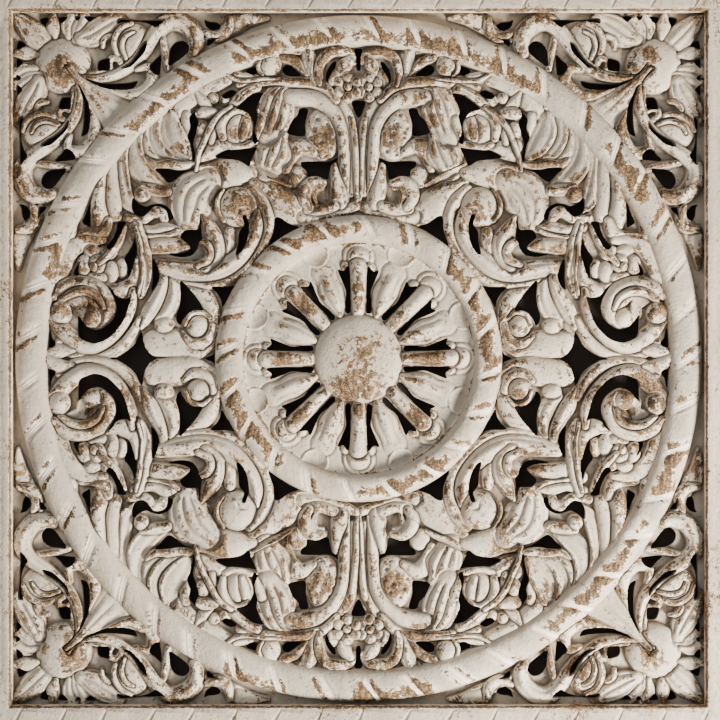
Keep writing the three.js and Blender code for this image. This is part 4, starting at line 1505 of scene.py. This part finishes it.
@dataclass(frozen=True)
class Studio:
    """The floor, a dark sheet behind the panel that only the camera sees, the lights and the camera."""

    floor_height: float = -1.60
    camera_distance: float = 2.4
    picture_width: float = 0.576
    picture_x: float = 0.0012
    picture_z: float = -0.0012

    def build(self) -> None:
        """Set everything up."""
        self.floor()
        self.shade_sheet()
        self.lights()
        self.camera()

    def plain(self, name: str, colour: tuple[float, float, float, float]) -> NodeBoard:
        """Make a plain matt material and return its nodes."""
        board = NodeBoard(name)
        shader = board.add("ShaderNodeBsdfPrincipled")
        shader.name = "paint"
        shader.inputs["Base Color"].default_value = colour
        shader.inputs["Roughness"].default_value = 0.9
        output = board.add("ShaderNodeOutputMaterial")
        output.name = "out"
        board.join(shader.outputs[0], output.inputs["Surface"])
        return board

    def floor(self) -> None:
        """Lay the pale floor."""
        bpy.ops.object.select_all(action="DESELECT")
        bpy.ops.mesh.primitive_plane_add(size=8.0, location=(0.0, 0.0, self.floor_height))
        floor = bpy.context.object
        floor.name = "floor"
        floor.data.materials.append(self.plain("pale_floor", (0.62, 0.61, 0.59, 1.0)).material)

    def shade_sheet(self) -> None:
        """Stand a dark sheet behind the panel, which is seen only from the front. Only camera rays meet it,
        not light, bounces or shadows, so it is painted shade behind the openings.
        """
        bpy.ops.object.select_all(action="DESELECT")
        bpy.ops.mesh.primitive_plane_add(
            size=0.6, location=(0.0, 0.004, 0.0), rotation=(math.pi / 2.0, 0.0, 0.0))
        dark_sheet = bpy.context.object
        dark_sheet.name = "shade_sheet"
        # Near-black: painted shade seen through the openings.
        board = self.plain("shade_sheet", (0.012, 0.008, 0.007, 1.0))
        clear = board.add("ShaderNodeBsdfTransparent")
        mix = board.add("ShaderNodeMixShader")
        side = board.add("ShaderNodeNewGeometry")
        board.join(side.outputs["Backfacing"], mix.inputs[0])
        board.join(board.tree.nodes["paint"].outputs[0], mix.inputs[1])
        board.join(clear.outputs[0], mix.inputs[2])
        board.join(mix.outputs[0], board.tree.nodes["out"].inputs["Surface"])
        dark_sheet.data.materials.append(board.material)
        dark_sheet.visible_diffuse = False
        dark_sheet.visible_glossy = False
        dark_sheet.visible_shadow = False

    def lights(self) -> None:
        """Set the soft key light, the fill and the sky."""
        world = bpy.data.worlds.new("studio")
        bpy.context.scene.world = world
        world.use_nodes = True
        back = world.node_tree.nodes["Background"]
        back.inputs["Color"].default_value = (0.88, 0.86, 0.84, 1.0)
        back.inputs["Strength"].default_value = 0.46
        self.area("key", (0.98, -0.66, -0.84), 0.36, 101.0, (1.0, 0.92, 0.82))
        self.area("fill", (-1.2, -2.2, 1.3), 1.4, 17.0, (0.93, 0.96, 1.0))

    def area(self, name: str, place: tuple[float, float, float], size: float, power: float,
             colour: tuple[float, float, float]) -> None:
        """Add one soft light that faces the panel."""
        light = bpy.data.lights.new(name, "AREA")
        light.size = size
        light.energy = power
        light.color = colour
        item = bpy.data.objects.new(name, light)
        item.location = place
        towards = -np.asarray(place)
        flat = math.hypot(towards[0], towards[1])
        item.rotation_euler = (math.pi / 2.0 + math.atan2(towards[2], flat), 0.0,
                               math.atan2(towards[1], towards[0]) - math.pi / 2.0)
        bpy.context.collection.objects.link(item)

    def camera(self) -> None:
        """Place the camera straight in front of the panel."""
        lens = bpy.data.cameras.new("camera")
        lens.sensor_width = 36.0
        lens.lens = 36.0 * self.camera_distance / self.picture_width
        item = bpy.data.objects.new("camera", lens)
        item.location = (self.picture_x, -self.camera_distance, self.picture_z)
        item.rotation_euler = (math.pi / 2.0, 0.0, 0.0)
        bpy.context.collection.objects.link(item)
        bpy.context.scene.camera = item


RING_OVERLAP = 1.2
FULL_STEP = 0.9

RAIL_TURNS = {"frame_rail_right": 0.0, "frame_rail_top": 90.0, "frame_rail_left": 180.0,
              "frame_rail_bottom": 270.0}


def dress(item: bpy.types.Object, material: bpy.types.Material, node: str) -> None:
    """Give a piece its material and its place in the frame."""
    item.data.materials.clear()
    item.data.materials.append(material)
    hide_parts(node)
    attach(item, "root")
    log.info("%s takes the place of %s", item.name, node)


def main() -> None:
    """Build the panel, then the studio."""
    logging.basicConfig(level=logging.INFO, format="%(message)s")
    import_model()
    step = FULL_STEP
    share = 1.0
    paint = whitewash("worn_whitewash", Whitewash())
    relief = carve_board(step)
    radius = np.hypot(relief.x, relief.z)
    outer = RopeRing("outer_rope_ring", 310.0, 342.0, 45, 2.5, 0.23, OUTER_RING_WORN)
    inner = RopeRing("inner_rope_ring", 115.0, 143.0, 20, 5.1, 0.195, INNER_RING_WORN)
    fields = (
        CarvedField("corner_carving", relief, radius - outer.outer + RING_OVERLAP, round(150000 * share)),
        CarvedField("scroll_carving", relief,
                    np.minimum(outer.inner + RING_OVERLAP - radius, radius - inner.outer + RING_OVERLAP),
                    round(170000 * share)),
        CarvedField("rosette", relief, inner.inner + RING_OVERLAP - radius, round(60000 * share)),
    )
    for carved in fields:
        dress(carved.build(), paint, "carved_board")
    for ring in (outer, inner):
        dress(ring.build(1.0), paint, "carved_board")
    for name, turn in RAIL_TURNS.items():
        dress(Rail().build(name + "_carved", turn), paint, name)
    Studio().build()


if __name__ == "__main__":
    main()
